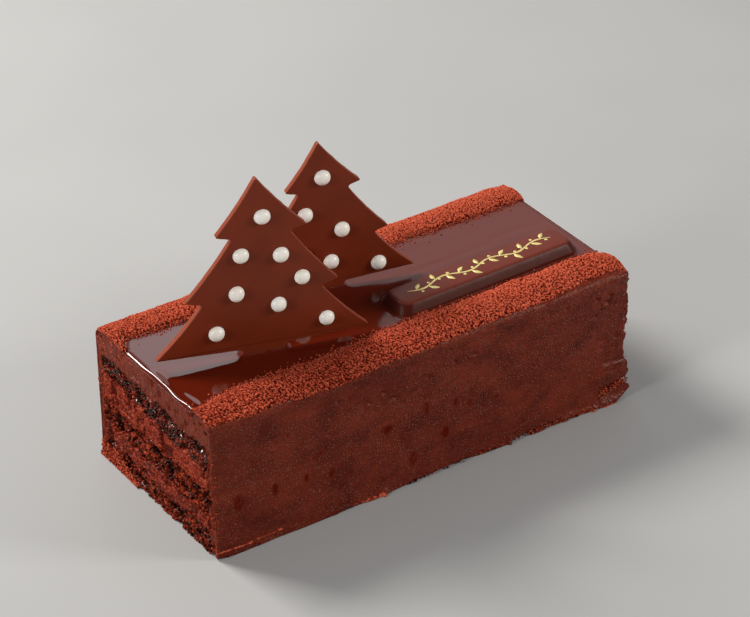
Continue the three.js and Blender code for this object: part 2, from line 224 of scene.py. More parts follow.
class CakeSizes(bpy.types.PropertyGroup):
    """Sizes that a user would change."""
    grid: length_setting("Skin grid", "Spacing of points on the spread ganache", 0.6)
    crumb_grid: length_setting("Crumb grid", "Spacing of points on the cut faces", 0.19)
    crumb: length_setting("Crumb", "Size of the lumps of sponge", 1.15)
    crumb_depth: length_setting("Crumb depth", "Depth of the hollows in the sponge", 3.0)
    cream_depth: length_setting("Cream depth", "Unevenness of the cut cream", 1.25)
    cocoa_grid: length_setting("Cocoa grid", "Spacing of points on the cocoa", 0.21)
    cocoa_clump: length_setting("Cocoa clump", "Size of the clumps of cocoa powder", 0.7)
    cocoa_depth: length_setting("Cocoa depth", "Height of the clumps of cocoa powder", 0.55)
    glaze_lip: length_setting("Glaze lip", "Bead of glaze along the left cut edge", 0.8)
    glaze_fall: length_setting("Glaze fall", "How much lower the glaze is at the right", 0.5)
    plate: length_setting("Fir thickness", "Thickness of the chocolate firs", 2.1)
    plate_bevel: length_setting("Fir edge", "Rounding of the firs' edges", 0.28)
    pearl_radius: length_setting("Pearl radius", "Radius of the sugar pearls", 2.65)
    pearl_height: length_setting("Pearl height", "How far a pearl stands out", 2.2)
    gold: length_setting("Gold thickness", "Thickness of the gold paint", 0.12)


class CakeColours(bpy.types.PropertyGroup):
    """Colours that a user would change."""
    ganache: colour_setting("Ganache", "Spread dark ganache", "#782c1b")
    ganache_dark: colour_setting("Ganache, dark", "Ganache where it is damp or thin", "#4c1508")
    # Painted highlight: the pale colour of the bubbles' painted glints.
    ganache_painted_glint: colour_setting("Ganache, bubbles", "Air bubbles in the ganache", "#b27a66")
    ganache_damp: colour_setting("Ganache, damp", "Where syrup has come through", "#560d00")
    ganache_cut: colour_setting("Cut ganache", "Ganache on the cut faces", "#75301f")
    sponge: colour_setting("Sponge", "Chocolate sponge", "#6a2113")
    sponge_light: colour_setting("Sponge, dry", "Dry crumbs of the sponge", "#a8442a")
    # The soaked sponge colour is also the painted shade in the sponge's hollows.
    sponge_dark: colour_setting("Sponge, soaked", "Sponge soaked with syrup", "#1c0602")
    cream: colour_setting("Cream", "Chocolate cream", "#862f1f")
    cream_light: colour_setting("Cream, light", "Chocolate cream where it is dry", "#a84c38")
    # The dark cream colour is also the painted shade in the cream's hollows.
    cream_dark: colour_setting("Cream, dark", "Cream mixed with soaked crumb", "#4c140a")
    # The glaze colour, darker, is painted shade at the left; the set glaze colour is used towards
    # the right.
    glaze: colour_setting("Glaze", "Mirror glaze", "#521507")
    glaze_set: colour_setting("Glaze, set", "Glaze that has set to a sheen", "#602216")
    cocoa: colour_setting("Cocoa", "Cocoa powder", "#c75b40")
    # The middle and the gap colours of the cocoa are painted shade: on the sides of the clumps and
    # in the gaps between them.
    cocoa_mid: colour_setting("Cocoa, middle", "Cocoa on the sides of clumps", "#7c240f")
    cocoa_dark: colour_setting("Cocoa, damp", "Cocoa that has drawn damp", "#2c0400")
    dust: colour_setting("Cocoa, smeared", "Cocoa smeared over ganache", "#8c2e14")
    fir: colour_setting("Fir", "Milk chocolate of the firs", "#762c15")
    fir_edge: colour_setting("Fir edge", "Cut edge of the firs", "#86402c")
    pearl: colour_setting("Pearl", "Sugar pearls", "#fffaf0")
    bar: colour_setting("Bar", "Chocolate of the bar", "#6a2c20")
    # Painted shade: the darker colour of the bar's bevelled sides.
    bar_side: colour_setting("Bar, sides", "Moulded sides of the bar", "#48170c")
    gold: colour_setting("Gold", "Edible gold paint", "#f2dc8e")
    floor: colour_setting("Floor", "Studio floor", "#a6a5a3")


def size(name):
    """A size from the sidebar, in millimetres."""
    return getattr(bpy.context.scene.cake_sizes, name) / MM


def colour(name, *factors):
    """A colour from the sidebar, as linear RGBA, with its parts multiplied by the factors."""
    shade = getattr(bpy.context.scene.cake_colours, name)
    return (*(v * factor for v, factor in zip(shade, factors or (1, 1, 1))), 1.0)


# Noise and steps

def hashed(lattice, seed):
    """Numbers from 0 to 1 that depend only on whole-number places (last axis) and a seed."""
    factors = np.array([374761393, 668265263, 1442695041][:lattice.shape[-1]])
    n = ((lattice * factors).sum(-1) + seed * 1013904223) & 0xFFFFFFFF
    n = ((n ^ (n >> 13)) * 1274126177) & 0xFFFFFFFF
    return ((n ^ (n >> 16)) & 0xFFFFFF) / 0xFFFFFF


def smoothstep(low, high, value):
    """0 at low, 1 at high, and 3t^2 - 2t^3 between them; low may be the larger."""
    t = np.clip((value - low) / (high - low), 0, 1)
    return t * t * (3 - 2 * t)


def bell(value, middle, width):
    """exp(-((value - middle) / width)^2)."""
    return np.exp(-((value - middle) / width) ** 2)


def noise(places, cell, seed):
    """Smooth noise from -1 to 1: random numbers at the corners of cells of the given size,
    in millimetres, blended along each axis by 3t^2 - 2t^3."""
    p = places / np.asarray(cell, float)
    base = np.floor(p).astype(np.int64)
    t = smoothstep(0, 1, p - base)
    total = 0
    for corner in np.ndindex(*(2,) * p.shape[-1]):
        weight = np.prod(np.where(corner, t, 1 - t), axis=-1)
        total = total + weight * hashed(base + np.array(corner), seed)
    return 2 * total - 1


def pair(a, b):
    """Two arrays of matching shapes as the places of a plane."""
    return np.stack(np.broadcast_arrays(a, b), -1).astype(float)


def waves(a, b, cell, seed):
    """Smooth noise over a plane of two coordinates."""
    return noise(pair(a, b), cell, seed)


def layered_noise(places, cell, seed, octaves=3):
    """Noise with finer and weaker copies of itself added, each half the size and strength."""
    parts = [noise(places, np.asarray(cell, float) / 2 ** i, seed + i) / 2 ** i
             for i in range(octaves)]
    return sum(parts) / (2 - 0.5 ** (octaves - 1))


def lumps(places, cell, seed, steep=2.2):
    """Rounded lumps on a plane, one for each square cell, and a tone for each lump. Height is
    1 - steep (d / cell)^2, at least 0, where d is the distance to the nearest of one random
    point in each cell; the tone is a random number from 0 to 1 that belongs to that point."""
    p = places / cell
    base = np.floor(p).astype(np.int64)
    nearest = np.full(p.shape[:-1], 9.0)
    tone = np.zeros(p.shape[:-1])
    for step in np.ndindex(3, 3):
        square = base + np.array(step) - 1
        point = square + np.stack([hashed(square, seed), hashed(square, seed + 7)], -1)
        distance = ((p - point) ** 2).sum(-1)
        tone = np.where(distance < nearest, hashed(square, seed + 13), tone)
        nearest = np.minimum(nearest, distance)
    return np.clip(1 - steep * nearest, 0, 1), tone


# Meshes

def signed_volume(points, triangles):
    """A sixth of the sum of the triple products of all triangles' corners."""
    a, b, c = (points[triangles[:, i]] for i in range(3))
    return float(np.einsum("ij,ij->i", a, np.cross(b, c)).sum()) / 6


def make_piece(name, points, faces, material, replaces, marks=None, flat=()):
    """A mesh object from points in millimetres and arrays of faces, one array for each number
    of corners. Faces are turned so that the volume is positive. marks are point attributes,
    and flat lists which of the face arrays are shaded flat."""
    points = points.reshape(-1, 3)
    tris = [f[:, [0, i, i + 1]] for f in faces for i in range(1, f.shape[1] - 1)]
    if signed_volume(points, np.concatenate(tris)) < 0:
        faces = [f[:, ::-1] for f in faces]
    mesh = bpy.data.meshes.new(name)
    corners = np.concatenate([f.ravel() for f in faces]).astype(np.int32)
    counts = np.concatenate([np.full(len(f), f.shape[1]) for f in faces])
    starts = np.concatenate([[0], np.cumsum(counts)[:-1]]).astype(np.int32)
    smooth = np.concatenate([np.full(len(f), i not in flat) for i, f in enumerate(faces)])
    mesh.vertices.add(len(points))
    mesh.loops.add(len(corners))
    mesh.polygons.add(len(counts))
    mesh.vertices.foreach_set("co", (points * MM).astype(np.float32).ravel())
    mesh.polygons.foreach_set("loop_start", starts)
    mesh.polygons.foreach_set("vertices", corners)
    mesh.polygons.foreach_set("use_smooth", smooth)
    for mark, values in (marks or {}).items():
        attribute = mesh.attributes.new(mark, "FLOAT", "POINT")
        attribute.data.foreach_set("value", values.astype(np.float32).ravel())
    mesh.update(calc_edges=True)
    mesh.validate()
    mesh.materials.append(material)
    piece = bpy.data.objects.new(name, mesh)
    bpy.context.scene.collection.objects.link(piece)
    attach(piece, BODY)
    if replaces:
        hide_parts(*replaces)


def grid_quads(index):
    """Quads between neighbours of a two-way array of point numbers."""
    return np.stack(
        [index[:-1, :-1], index[1:, :-1], index[1:, 1:], index[:-1, 1:]], -1).reshape(-1, 4)


def numbered(grid):
    """Point numbers in the shape of a grid of points."""
    return np.arange(grid.shape[0] * grid.shape[1]).reshape(grid.shape[:2])


def slab(upper, lower):
    """A closed solid between two grids of one shape: both grids as faces, the lower one
    turned round, and a strip of quads round their borders. Gives points and faces."""
    index = numbered(upper)
    border = np.concatenate([index[0, :], index[1:, -1], index[-1, -2::-1], index[-2:0:-1, 0]])
    after = np.roll(border, -1)
    rim = np.stack([border, after, after + index.size, border + index.size], -1)
    faces = np.concatenate([grid_quads(index), grid_quads(index)[:, ::-1] + index.size, rim])
    return np.concatenate([upper.reshape(-1, 3), lower.reshape(-1, 3)]), [faces]


def carried(rings):
    """A closed ring of points (first axis) carried along a path (second axis), with a
    polygon over each end. Gives points and faces."""
    index = numbered(rings)
    looped = np.concatenate([index, index[:1]], 0)
    return rings.reshape(-1, 3), [grid_quads(looped), np.stack([index[::-1, 0], index[:, -1]])]


def across_top(x, y, at, yaw):
    """Places on the cake's top in the plan of a decoration at a place and turned by a yaw:
    along it and behind it."""
    c, s = math.cos(math.radians(yaw)), math.sin(math.radians(yaw))
    dx, dy = x - at[0], y - at[1]
    return dx * c + dy * s, dy * c - dx * s


def onto_top(along, behind, z, at, yaw):
    """Points of a decoration's own plan turned by its yaw and moved to its place."""
    c, s = math.cos(math.radians(yaw)), math.sin(math.radians(yaw))
    return np.stack([at[0] + along * c - behind * s, at[1] + along * s + behind * c, z], -1)


# Nodes

def plug(tree, node, **inputs):
    """Sets or links a node's sockets, called by their identifiers or by their names with _
    for a space. A node given as a value stands for its first output in use."""
    for key, value in inputs.items():
        socket = next(s for s in node.inputs if key in (s.identifier, s.name.replace(" ", "_")))
        if isinstance(value, bpy.types.Node):
            value = next(output for output in value.outputs if output.enabled)
        if isinstance(value, bpy.types.NodeSocket):
            tree.links.new(value, socket)
        else:
            socket.default_value = value


def add_node(tree, kind, **given):
    """Adds a shader node. Names in small letters set its properties, and stops the places and
    colours of its ramp; the others set or link its sockets."""
    node = tree.nodes.new("ShaderNode" + kind)
    for key in [key for key in given if key.islower() and key != "stops"]:
        setattr(node, key, given.pop(key))
    stops = given.pop("stops", [])
    while stops and len(node.color_ramp.elements) < len(stops):
        node.color_ramp.elements.new(0.5)
    for i, (place, shade) in enumerate(stops):
        node.color_ramp.elements[i].position = place
        node.color_ramp.elements[i].color = shade if np.size(shade) > 1 else (shade,) * 3 + (1,)
    plug(tree, node, **given)
    return node


def per_mm(millimetres):
    """The scale at which a pattern on Object coordinates, in metres, has this size."""
    return 1 / (millimetres * MM)


def new_material(name):
    """A material with a Principled shader. Gives it, a function that adds a node to it, one
    that sets or links the shader's sockets, and its Object coordinates."""
    material = bpy.data.materials.new(name)
    material.use_nodes = True
    tree = material.node_tree
    coordinates = tree.nodes.new("ShaderNodeTexCoord")
    return (material, partial(add_node, tree), partial(plug, tree, tree.nodes["Principled BSDF"]),
            coordinates.outputs["Object"])


def spread_ganache():
    """Dark ganache spread with a palette knife: satin, mottled, strokes along the cake and
    fine bubbles that catch the light, with painted glints on their tops. Where it is cut, a
    paler face dragged downwards, with crumb smeared over it lower down, and cocoa wherever
    the dust mark is set."""
    material, add, shade, place = new_material("dark_ganache_spread")
    damp, cut, crumbed, dust, glint = (
        add("Attribute", attribute_name=mark)
        for mark in ("damp", "cut", "crumbed", "dust", "glint"))
    # Cloudy patches of thicker and thinner ganache, longer along the cake.
    drawn = add("Mapping", Vector=place, Scale=(0.7, 1, 1))
    mottle = add("TexNoise", Vector=drawn, Scale=per_mm(8), Detail=5.0, Roughness=0.6)
    stipple = add("TexNoise", Vector=place, Scale=per_mm(0.7), Detail=2.0, Roughness=0.7)
    cloud = add("Mix", data_type="FLOAT", Factor_Float=0.45, A_Float=mottle, B_Float=stipple)
    base = add("ValToRGB", stops=[(0.37, colour("ganache_dark")), (0.63, colour("ganache"))],
               Fac=cloud)
    # Air bubbles about half a millimetre across, in two cells of three, each with a painted glint:
    # the top of each is painted pale.
    cells = add("TexVoronoi", Vector=place, Scale=per_mm(0.75))
    dome = add("MapRange", interpolation_type="SMOOTHSTEP", Value=cells, From_Min=0.5,
               From_Max=0.05)
    chosen = add("Math", operation="GREATER_THAN", Value=cells.outputs["Color"], Value_001=0.36)
    bubble = add("Math", operation="MULTIPLY", Value=dome, Value_001=chosen)
    pale = add("MapRange", Value=bubble, From_Min=0.45, From_Max=0.95, To_Max=0.5)
    # The cut face, dragged downwards by the knife.
    drag = add("Mapping", Vector=place, Scale=(1, 1, 0.16))
    streak = add("TexNoise", Vector=drag, Scale=per_mm(0.8), Detail=4.0, Roughness=0.65)
    cut_tint = add("ValToRGB", stops=[(0.3, colour("ganache_dark")), (0.6, colour("ganache_cut"))],
                   Fac=streak)
    # Crumb that the knife has smeared over the cut face.
    crumb = add("TexNoise", Vector=place, Scale=per_mm(1.3), Detail=4.0, Roughness=0.7)
    crumb_tint = add("ValToRGB", Fac=crumb, stops=[
        (0.38, colour("sponge_dark")), (0.5, colour("sponge")), (0.64, colour("sponge_light"))])
    # Cocoa powder that the knife or a finger has smeared. Thin, it lets the ganache through;
    # where it has gathered it keeps its own colour.
    dusty = add("Math", operation="ADD", Value=dust, Value_001=crumb)
    dust_mask = add("ValToRGB", stops=[(0.9, 0.0), (1.0, 1.0)], Fac=dusty)
    powder = add("ValToRGB", stops=[(0.97, colour("dust")), (1.0, colour("cocoa"))], Fac=dusty)
    # Each lies over the ones before it. Damp places are darker and redder.
    over = [(pale, colour("ganache_painted_glint")), (damp, colour("ganache_damp")), (cut, cut_tint),
            (crumbed, crumb_tint), (dust_mask, powder)]
    final = base
    for share, tint in over:
        final = add("Mix", data_type="RGBA", Factor_Float=share, A_Color=final, B_Color=tint)
    satin = add("MapRange", Value=mottle, From_Min=0.3, From_Max=0.7, To_Min=0.22, To_Max=0.34)
    # Wet ledges are nearly mirrors, and cut or damp ganache is duller than spread ganache.
    rough = add("Mix", data_type="FLOAT", Factor_Float=glint, A_Float=satin, B_Float=0.12)
    dull = add("Math", operation="MAXIMUM", Value=cut, Value_001=damp)
    sheen = add("Mix", data_type="FLOAT", Factor_Float=dull, A_Float=0.16, B_Float=0.04)
    shine = add("Mix", data_type="FLOAT", Factor_Float=glint, A_Float=sheen, B_Float=0.9)
    # Strokes of the palette knife, longer along the cake, with the bubbles on top.
    along = add("Mapping", Vector=place, Scale=(0.5, 1, 1))
    stroke = add("TexNoise", Vector=along, Scale=per_mm(1.6), Detail=4.0, Roughness=0.6)
    strokes = add("Bump", Height=stroke, Strength=0.7, Distance=0.4 * MM)
    grainy = add("Math", operation="MULTIPLY_ADD", Value=stipple, Value_001=0.5,
                 Value_002=bubble)
    bubbles = add("Bump", Height=grainy, Strength=1.0, Distance=0.25 * MM, Normal=strokes)
    # The plain value stands where an exported model can't hold a linked one.
    shade(Specular_IOR_Level=0.16)
    shade(Base_Color=final, Roughness=rough, Normal=bubbles, Specular_IOR_Level=shine,
          Specular_Tint=GANACHE_GLOSS)
    return material


def torn_crumb(name, light, middle, dark):
    """Crumb torn by the knife: matte grains, each of its own shade, and painted shade that darkens
    the hollows between them. Where the wet mark is set it is soaked with syrup: darker, with
    small sharp glints.
    Cream is made the same way, from paler and redder colours."""
    material, add, shade, place = new_material(name)
    tone, hollow, wet = (add("Attribute", attribute_name=mark)
                         for mark in ("tone", "hollow", "wet"))
    patch = add("TexNoise", Vector=place, Scale=per_mm(3), Detail=5.0, Roughness=0.7)
    blend = add("Mix", data_type="FLOAT", Factor_Float=0.42, A_Float=tone, B_Float=patch)
    soaked = add("Math", operation="MULTIPLY_ADD", Value=wet, Value_001=-0.13, Value_002=blend)
    crumb = add("ValToRGB", stops=[(0.3, dark), (0.46, middle), (0.64, light)], Fac=soaked)
    # Painted shade: the hollow mark takes the colour towards the dark one, the more the deeper a
    # place lies.
    shaded = add("Mix", data_type="RGBA", Factor_Float=hollow, A_Color=crumb, B_Color=dark)
    gleam = add("TexNoise", Vector=place, Scale=per_mm(1.0), Detail=2.0)
    dry = add("Math", operation="MULTIPLY_ADD", Value=wet, Value_001=-0.14, Value_002=gleam)
    from_wet = {"Value": dry, "From_Min": 0.28, "From_Max": 0.38}
    rough = add("MapRange", To_Min=0.12, To_Max=0.75, **from_wet)
    shine = add("MapRange", To_Min=0.7, To_Max=0.06, **from_wet)
    fine = add("TexNoise", Vector=place, Scale=per_mm(0.5), Detail=3.0)
    # Ledges, where the wet mark is over 1.5, are smooth.
    grainy = add("MapRange", Value=wet, From_Min=1.5, From_Max=2.0, To_Min=1.0, To_Max=0.1)
    bump = add("Bump", Height=fine, Strength=grainy, Distance=0.6 * MM)
    # Dry crumb throws light from grain to grain, so that its gloss takes on its colour.
    tint = add("ValToRGB", stops=[(0.28, WET_GLOSS), (0.38, DRY_GLOSS)], Fac=dry)
    shade(Specular_IOR_Level=0.12)
    shade(Base_Color=shaded, Roughness=rough, Normal=bump, Specular_IOR_Level=shine,
          Specular_Tint=tint)
    return material


def cocoa_powder():
    """Cocoa powder sifted on thickly: matte clumps, warm brown, each of its own shade, with
    painted shade that darkens their sides and, most, the gaps between them. Real powder is
    too fine to show, so its grain is drawn half a millimetre wide."""
    material, add, shade, place = new_material("cocoa_powder_sifted")
    depth, tone = (add("Attribute", attribute_name=mark) for mark in ("depth", "tone"))
    grain = add("TexNoise", Vector=place, Scale=per_mm(0.5), Detail=3.0)
    own = add("Mix", data_type="FLOAT", Factor_Float=0.3, A_Float=depth, B_Float=tone)
    height = add("Mix", data_type="FLOAT", Factor_Float=0.3, A_Float=own, B_Float=grain)
    # Painted shade: the lower a place lies on its clump, the darker, from the cocoa colour on top
    # through the middle colour to the gap shade colour.
    powder = add("ValToRGB", Fac=height, stops=[
        (0.33, colour("cocoa_dark")), (0.48, colour("cocoa_mid")), (0.7, colour("cocoa"))])
    bump = add("Bump", Height=grain, Strength=1.0, Distance=0.4 * MM)
    shade(Base_Color=powder, Roughness=0.95, Normal=bump, Specular_IOR_Level=0.08)
    return material


def mirror_glaze():
    """Poured chocolate glaze: wet and mirror-like at the left, and set to a softer sheen with
    faint drag marks towards the right. Its colour is darker at the left, as painted shade."""
    material, add, shade, place = new_material("chocolate_mirror_glaze")
    split = add("SeparateXYZ", Vector=place)
    along = add("MapRange", Value=split.outputs["X"], From_Min=-20 * MM, From_Max=30 * MM)
    # Painted shade: the colour is darker at the left and goes to the set glaze's colour towards the
    # right.
    tint = add("ValToRGB", stops=[(0.0, colour("glaze")), (1.0, colour("glaze_set"))], Fac=along)
    rough = add("MapRange", Value=along, To_Min=0.05, To_Max=0.24)
    ripple = add("TexNoise", Vector=place, Scale=per_mm(6), Detail=2.0)
    bump = add("Bump", Height=ripple, Strength=0.08, Distance=0.4 * MM)
    shade(Base_Color=tint, Roughness=rough, IOR=1.5, Normal=bump)
    return material


def tempered_chocolate(name, face, edge, roughness):
    """Tempered chocolate, smooth from the sheet or mould: even satin sheen, a slight cloud
    in the colour, fine scuffs, and duller edges of another colour where that mark is set, which
    on the bar is darker, as painted shade on its bevels."""
    material, add, shade, place = new_material(name)
    cloud = add("TexNoise", Vector=place, Scale=per_mm(16), Detail=3.0)
    tint = add("ValToRGB", stops=[(0.35, colour(face, 0.84, 0.84, 0.84)), (0.65, colour(face))],
               Fac=cloud)
    # Edges take the edge colour: lighter on the firs, and on the bar darker, as painted shade.
    mark = add("Attribute", attribute_name="edge")
    mixed = add("Mix", data_type="RGBA", Factor_Float=mark, A_Color=tint, B_Color=colour(edge))
    scuff = add("TexNoise", Vector=place, Scale=per_mm(2.5), Detail=4.0)
    rough = add("MapRange", Value=scuff, From_Min=0.3, From_Max=0.7,
                To_Min=roughness - 0.04, To_Max=roughness + 0.06)
    shine = add("Mix", data_type="FLOAT", Factor_Float=mark, A_Float=0.25, B_Float=0.12)
    bump = add("Bump", Height=scuff, Strength=0.06, Distance=0.3 * MM)
    shade(Specular_IOR_Level=0.25)
    shade(Base_Color=mixed, Roughness=rough, Normal=bump, Specular_IOR_Level=shine,
          Specular_Tint=CHOCOLATE_GLOSS)
    return material


def mottled(name, shade_name, factors, grain_mm, detail, ends, **surface):
    """A material of one colour, thinner or duller by the factors in cloudy spots. Gives it,
    its function that adds a node, the one that sets the shader, and its coordinates."""
    material, add, shade, place = new_material(name)
    spots = add("TexNoise", Vector=place, Scale=per_mm(grain_mm), Detail=detail)
    tint = add("ValToRGB", Fac=spots, stops=[
        (ends[0], colour(shade_name, *factors)), (ends[1], colour(shade_name))])
    shade(Base_Color=tint, **surface)
    return material, add, shade, place


def sugar_pearl():
    """Polished sugar pearls: ivory, opaque, with a soft shine and a faint pitted coat."""
    material, add, shade, place = mottled(
        "polished_sugar_pearl", "pearl", (0.95, 0.92, 0.86), 3, 2.0, (0.35, 0.6),
        Roughness=0.32)
    coat = add("TexNoise", Vector=place, Scale=per_mm(0.5), Detail=2.0)
    shade(Normal=add("Bump", Height=coat, Strength=0.08, Distance=0.1 * MM))
    return material


def gold_paint():
    """Edible gold brushed or printed on: a soft metallic sheen, a little thin in places."""
    return mottled("edible_gold_paint", "gold", (0.72, 0.72, 0.72), 0.8, 3.0, (0.35, 0.6),
                   Metallic=0.25, Roughness=0.42)[0]


def studio_floor():
    """A plain matte studio floor, pale, with hardly any grain, in patches of 11 cm."""
    return mottled("pale_studio_floor", "floor", (0.97, 0.97, 0.97), 1000 / 9, 2.0, (0.4, 0.6),
                   Roughness=0.85)[0]


# Shapes of the block

def half_width(z):
    """Half the cake's width at a height: straight from the base to the shoulder."""
    share = np.clip(z / SHOULDER_Z, 0, 1)
    return (BASE_WIDTH + (TOP_WIDTH - BASE_WIDTH) * share) / 2


def border_height(border, y):
    """Height of a border between layers: middle + tilt t + crown t^2, with t the share of
    the half-width, and small irregular waves where crumb has crossed it."""
    middle, tilt, crown, ragged = border
    t = y / (TOP_WIDTH / 2)
    uneven = 0.55 * waves(y, middle, 4.5, 61) + 0.35 * waves(y, middle, 1.4, 67)
    return middle + tilt * t + crown * t * t + ragged * uneven


def inner_wall(side, z):
    """Y of the inner face of the coat on one side, with waves up the height."""
    base = TOP_WIDTH / 2 - (FRONT_WALL if side < 0 else BACK_WALL)
    at = side * 5.0
    return side * (base + 0.6 * waves(z, at, 4.5, 71) + 0.35 * waves(z, at, 1.3, 72))


def ridge_wander(x, ridge):
    """How far the inner edge of a ridge lies off its mean: it wanders along the length, and
    swings to the front by smooth steps, each between two places."""
    seed = ridge["seed"]
    wander = 0.8 * waves(x, 0.0, 11, seed) + 0.35 * waves(x, 3.0, 3.1, seed + 3)
    return wander + sum(amount * smoothstep(start, stop, x)
                        for amount, start, stop in ridge["swings"])


def end_drop(x, z):
    """How far the top falls away over the last 6 mm at the right end."""
    return 1.4 * smoothstep(HALF_LENGTH - 6, HALF_LENGTH, x) * smoothstep(48.4, 50, z)


def ridge_line(ridge, count):
    """The line over one ridge, from the shoulder to the trough, at even steps of its length:
    a quarter round, then a crest that falls to the trough by a smooth step."""
    turn = np.linspace(0, math.pi / 2, 12)
    round_y = half_width(SHOULDER_Z) - SHOULDER_ROUND * (1 - np.cos(turn))
    round_z = SHOULDER_Z + SHOULDER_ROUND * np.sin(turn)
    share = np.linspace(0, 1, 40)[1:]
    top_y = round_y[-1] + share * (abs(ridge["edge"]) - round_y[-1])
    swell = np.sin(math.pi * share ** 0.9) ** 0.8
    fall = (round_z[-1] - TROUGH_Z) * smoothstep(0.86, 1.0, share)
    top_z = round_z[-1] + (ridge["crest_z"] - round_z[-1]) * swell - fall
    y = ridge["side"] * np.concatenate([round_y, top_y])
    z = np.concatenate([round_z, top_z])
    steps = np.concatenate([[0], np.cumsum(np.hypot(np.diff(y), np.diff(z)))])
    at = np.linspace(0, steps[-1], count)
    return np.stack([np.interp(at, steps, y), np.interp(at, steps, z)], -1)


def ridge_skin(ridge, x_values, count):
    """A ridge's surface as a grid (across, along, 3): its line carried along the cake, with
    an uneven shoulder, a wandering inner edge, a wavy crest, and the fall and the bulge at
    the right end."""
    line = ridge_line(ridge, count)
    share = np.linspace(0, 1, count)[:, None]
    x, y = np.broadcast_arrays(x_values[None, :], line[:, :1])
    y = y + ridge_wander(x, ridge) * smoothstep(0.45, 1, share)
    uneven = waves(x, RIDGE_ACROSS * share, (4.5, 1.6), 13)
    shoulder = smoothstep(0, 0.06, share) * smoothstep(0.4, 0.2, share)
    y = y + 0.35 * ridge["side"] * uneven * shoulder
    z = line[:, 1:] + 0.3 * waves(x, y, 7, 11) * np.sin(math.pi * share)
    bulge = 1.1 * np.sin(math.pi * share) * smoothstep(70, HALF_LENGTH, x)
    return np.stack([x + bulge, y, z - end_drop(x, z)], -1)


def torn_gap(x):
    """Height of the gap between the two torn lobes at the right foot of the front."""
    return 5.9 + 0.16 * (x - 74)


def front_relief(x, z):
    """How far the front face stands out: broad and narrow waves of the palette knife, a lip
    under the cocoa, pits, a foot that spreads, and two torn lobes at the right end with a
    crease above them and a hollow between them."""
    broad = 0.28 * waves(x, z, (17, 11), 3) + 0.15 * waves(x, z, (8, 4), 5)
    strokes = 0.04 * waves(x, z, (10, 1.4), 6) + 0.06 * waves(x, z, (2.4, 1.3), 8)
    upper = smoothstep(30, 42, z)
    strokes = strokes * (0.7 + 1.0 * upper) + 0.14 * upper * waves(x, z, (6, 2.2), 9)
    lip_z = 47.0 + 0.9 * waves(x, 1.0, 14, 12)
    lip = 0.3 * bell(z, lip_z, 0.6) * smoothstep(26, 10, x)
    spread = np.interp(x, FOOT_X, FOOT_SPREAD) * smoothstep(4.5, 0, z) ** 1.5
    crumbs = 0.5 * np.abs(waves(x, z, 1.3, 14)) * smoothstep(2.5, 0.4, z)
    relief = broad + strokes + lip + spread + crumbs * smoothstep(44, 54, x)
    for pit_x, pit_z, radius in PITS:
        distance = ((x - pit_x) / (1.25 * radius)) ** 2 + ((z - pit_z) / (0.8 * radius)) ** 2
        relief = relief - 0.6 * np.exp(-distance ** 1.5) + 0.15 * bell(distance, 2.4, 1)
    crease_z = 15.6 - 0.12 * (x - 72)
    step = 0.55 * smoothstep(crease_z + 0.3, crease_z - 0.15, z) * smoothstep(4, 8, z)
    lobe = 0.6 * bell(z, 11.5, 3.2) + 0.6 * bell(z, 2.5, 2.4)
    gap = 2.0 * bell(z, torn_gap(x), 0.9) * smoothstep(68, 75, x)
    crack = 0.9 * bell(z, 24.6 + 0.35 * (x - 76), 0.5) * smoothstep(69, 76, x)
    folds = 0.3 * np.abs(waves(x, z, (4, 1.5), 16)) * smoothstep(60, 74, x)
    nicks = 0.5 * smoothstep(0.45, 0.8, waves(x, z, (2.4, 1.1), 18)) * smoothstep(60, 68, x)
    torn = gap + crack + folds * smoothstep(5, 8, z) + nicks * smoothstep(17, 24, z)
    return relief + smoothstep(63, 74, x) * (step + lobe - 0.4) - torn


def torn_reach(x, z):
    """How far a place near the right end is drawn along X."""
    reach = np.interp(z, *zip(*TORN)) + 0.3 * waves(z, 0.0, 1.0, 17)
    return reach * smoothstep(68, 80, x)


def back_relief(x, z):
    """How far the back face stands out: broad waves, strokes and a few bulging crumbs."""
    broad = 0.24 * waves(x, z, (17, 11), 23) + 0.1 * waves(x, z, (8, 4), 25)
    strokes = 0.08 * waves(x, z, (14, 1.4), 26) + 0.03 * waves(x, z, (2.2, 0.9), 28)
    return broad + strokes + 0.7 * np.abs(waves(x, z, 2.2, 24)) * smoothstep(4, 0.5, z)


def back_lift(x):
    """How far the lower edge of the back is lifted off the floor along the length."""
    return (1.1 * np.clip(waves(x, 5.0, 9, 21), 0, 1)
            + 0.4 * np.clip(waves(x, 5.0, 1.7, 22), 0, 1))


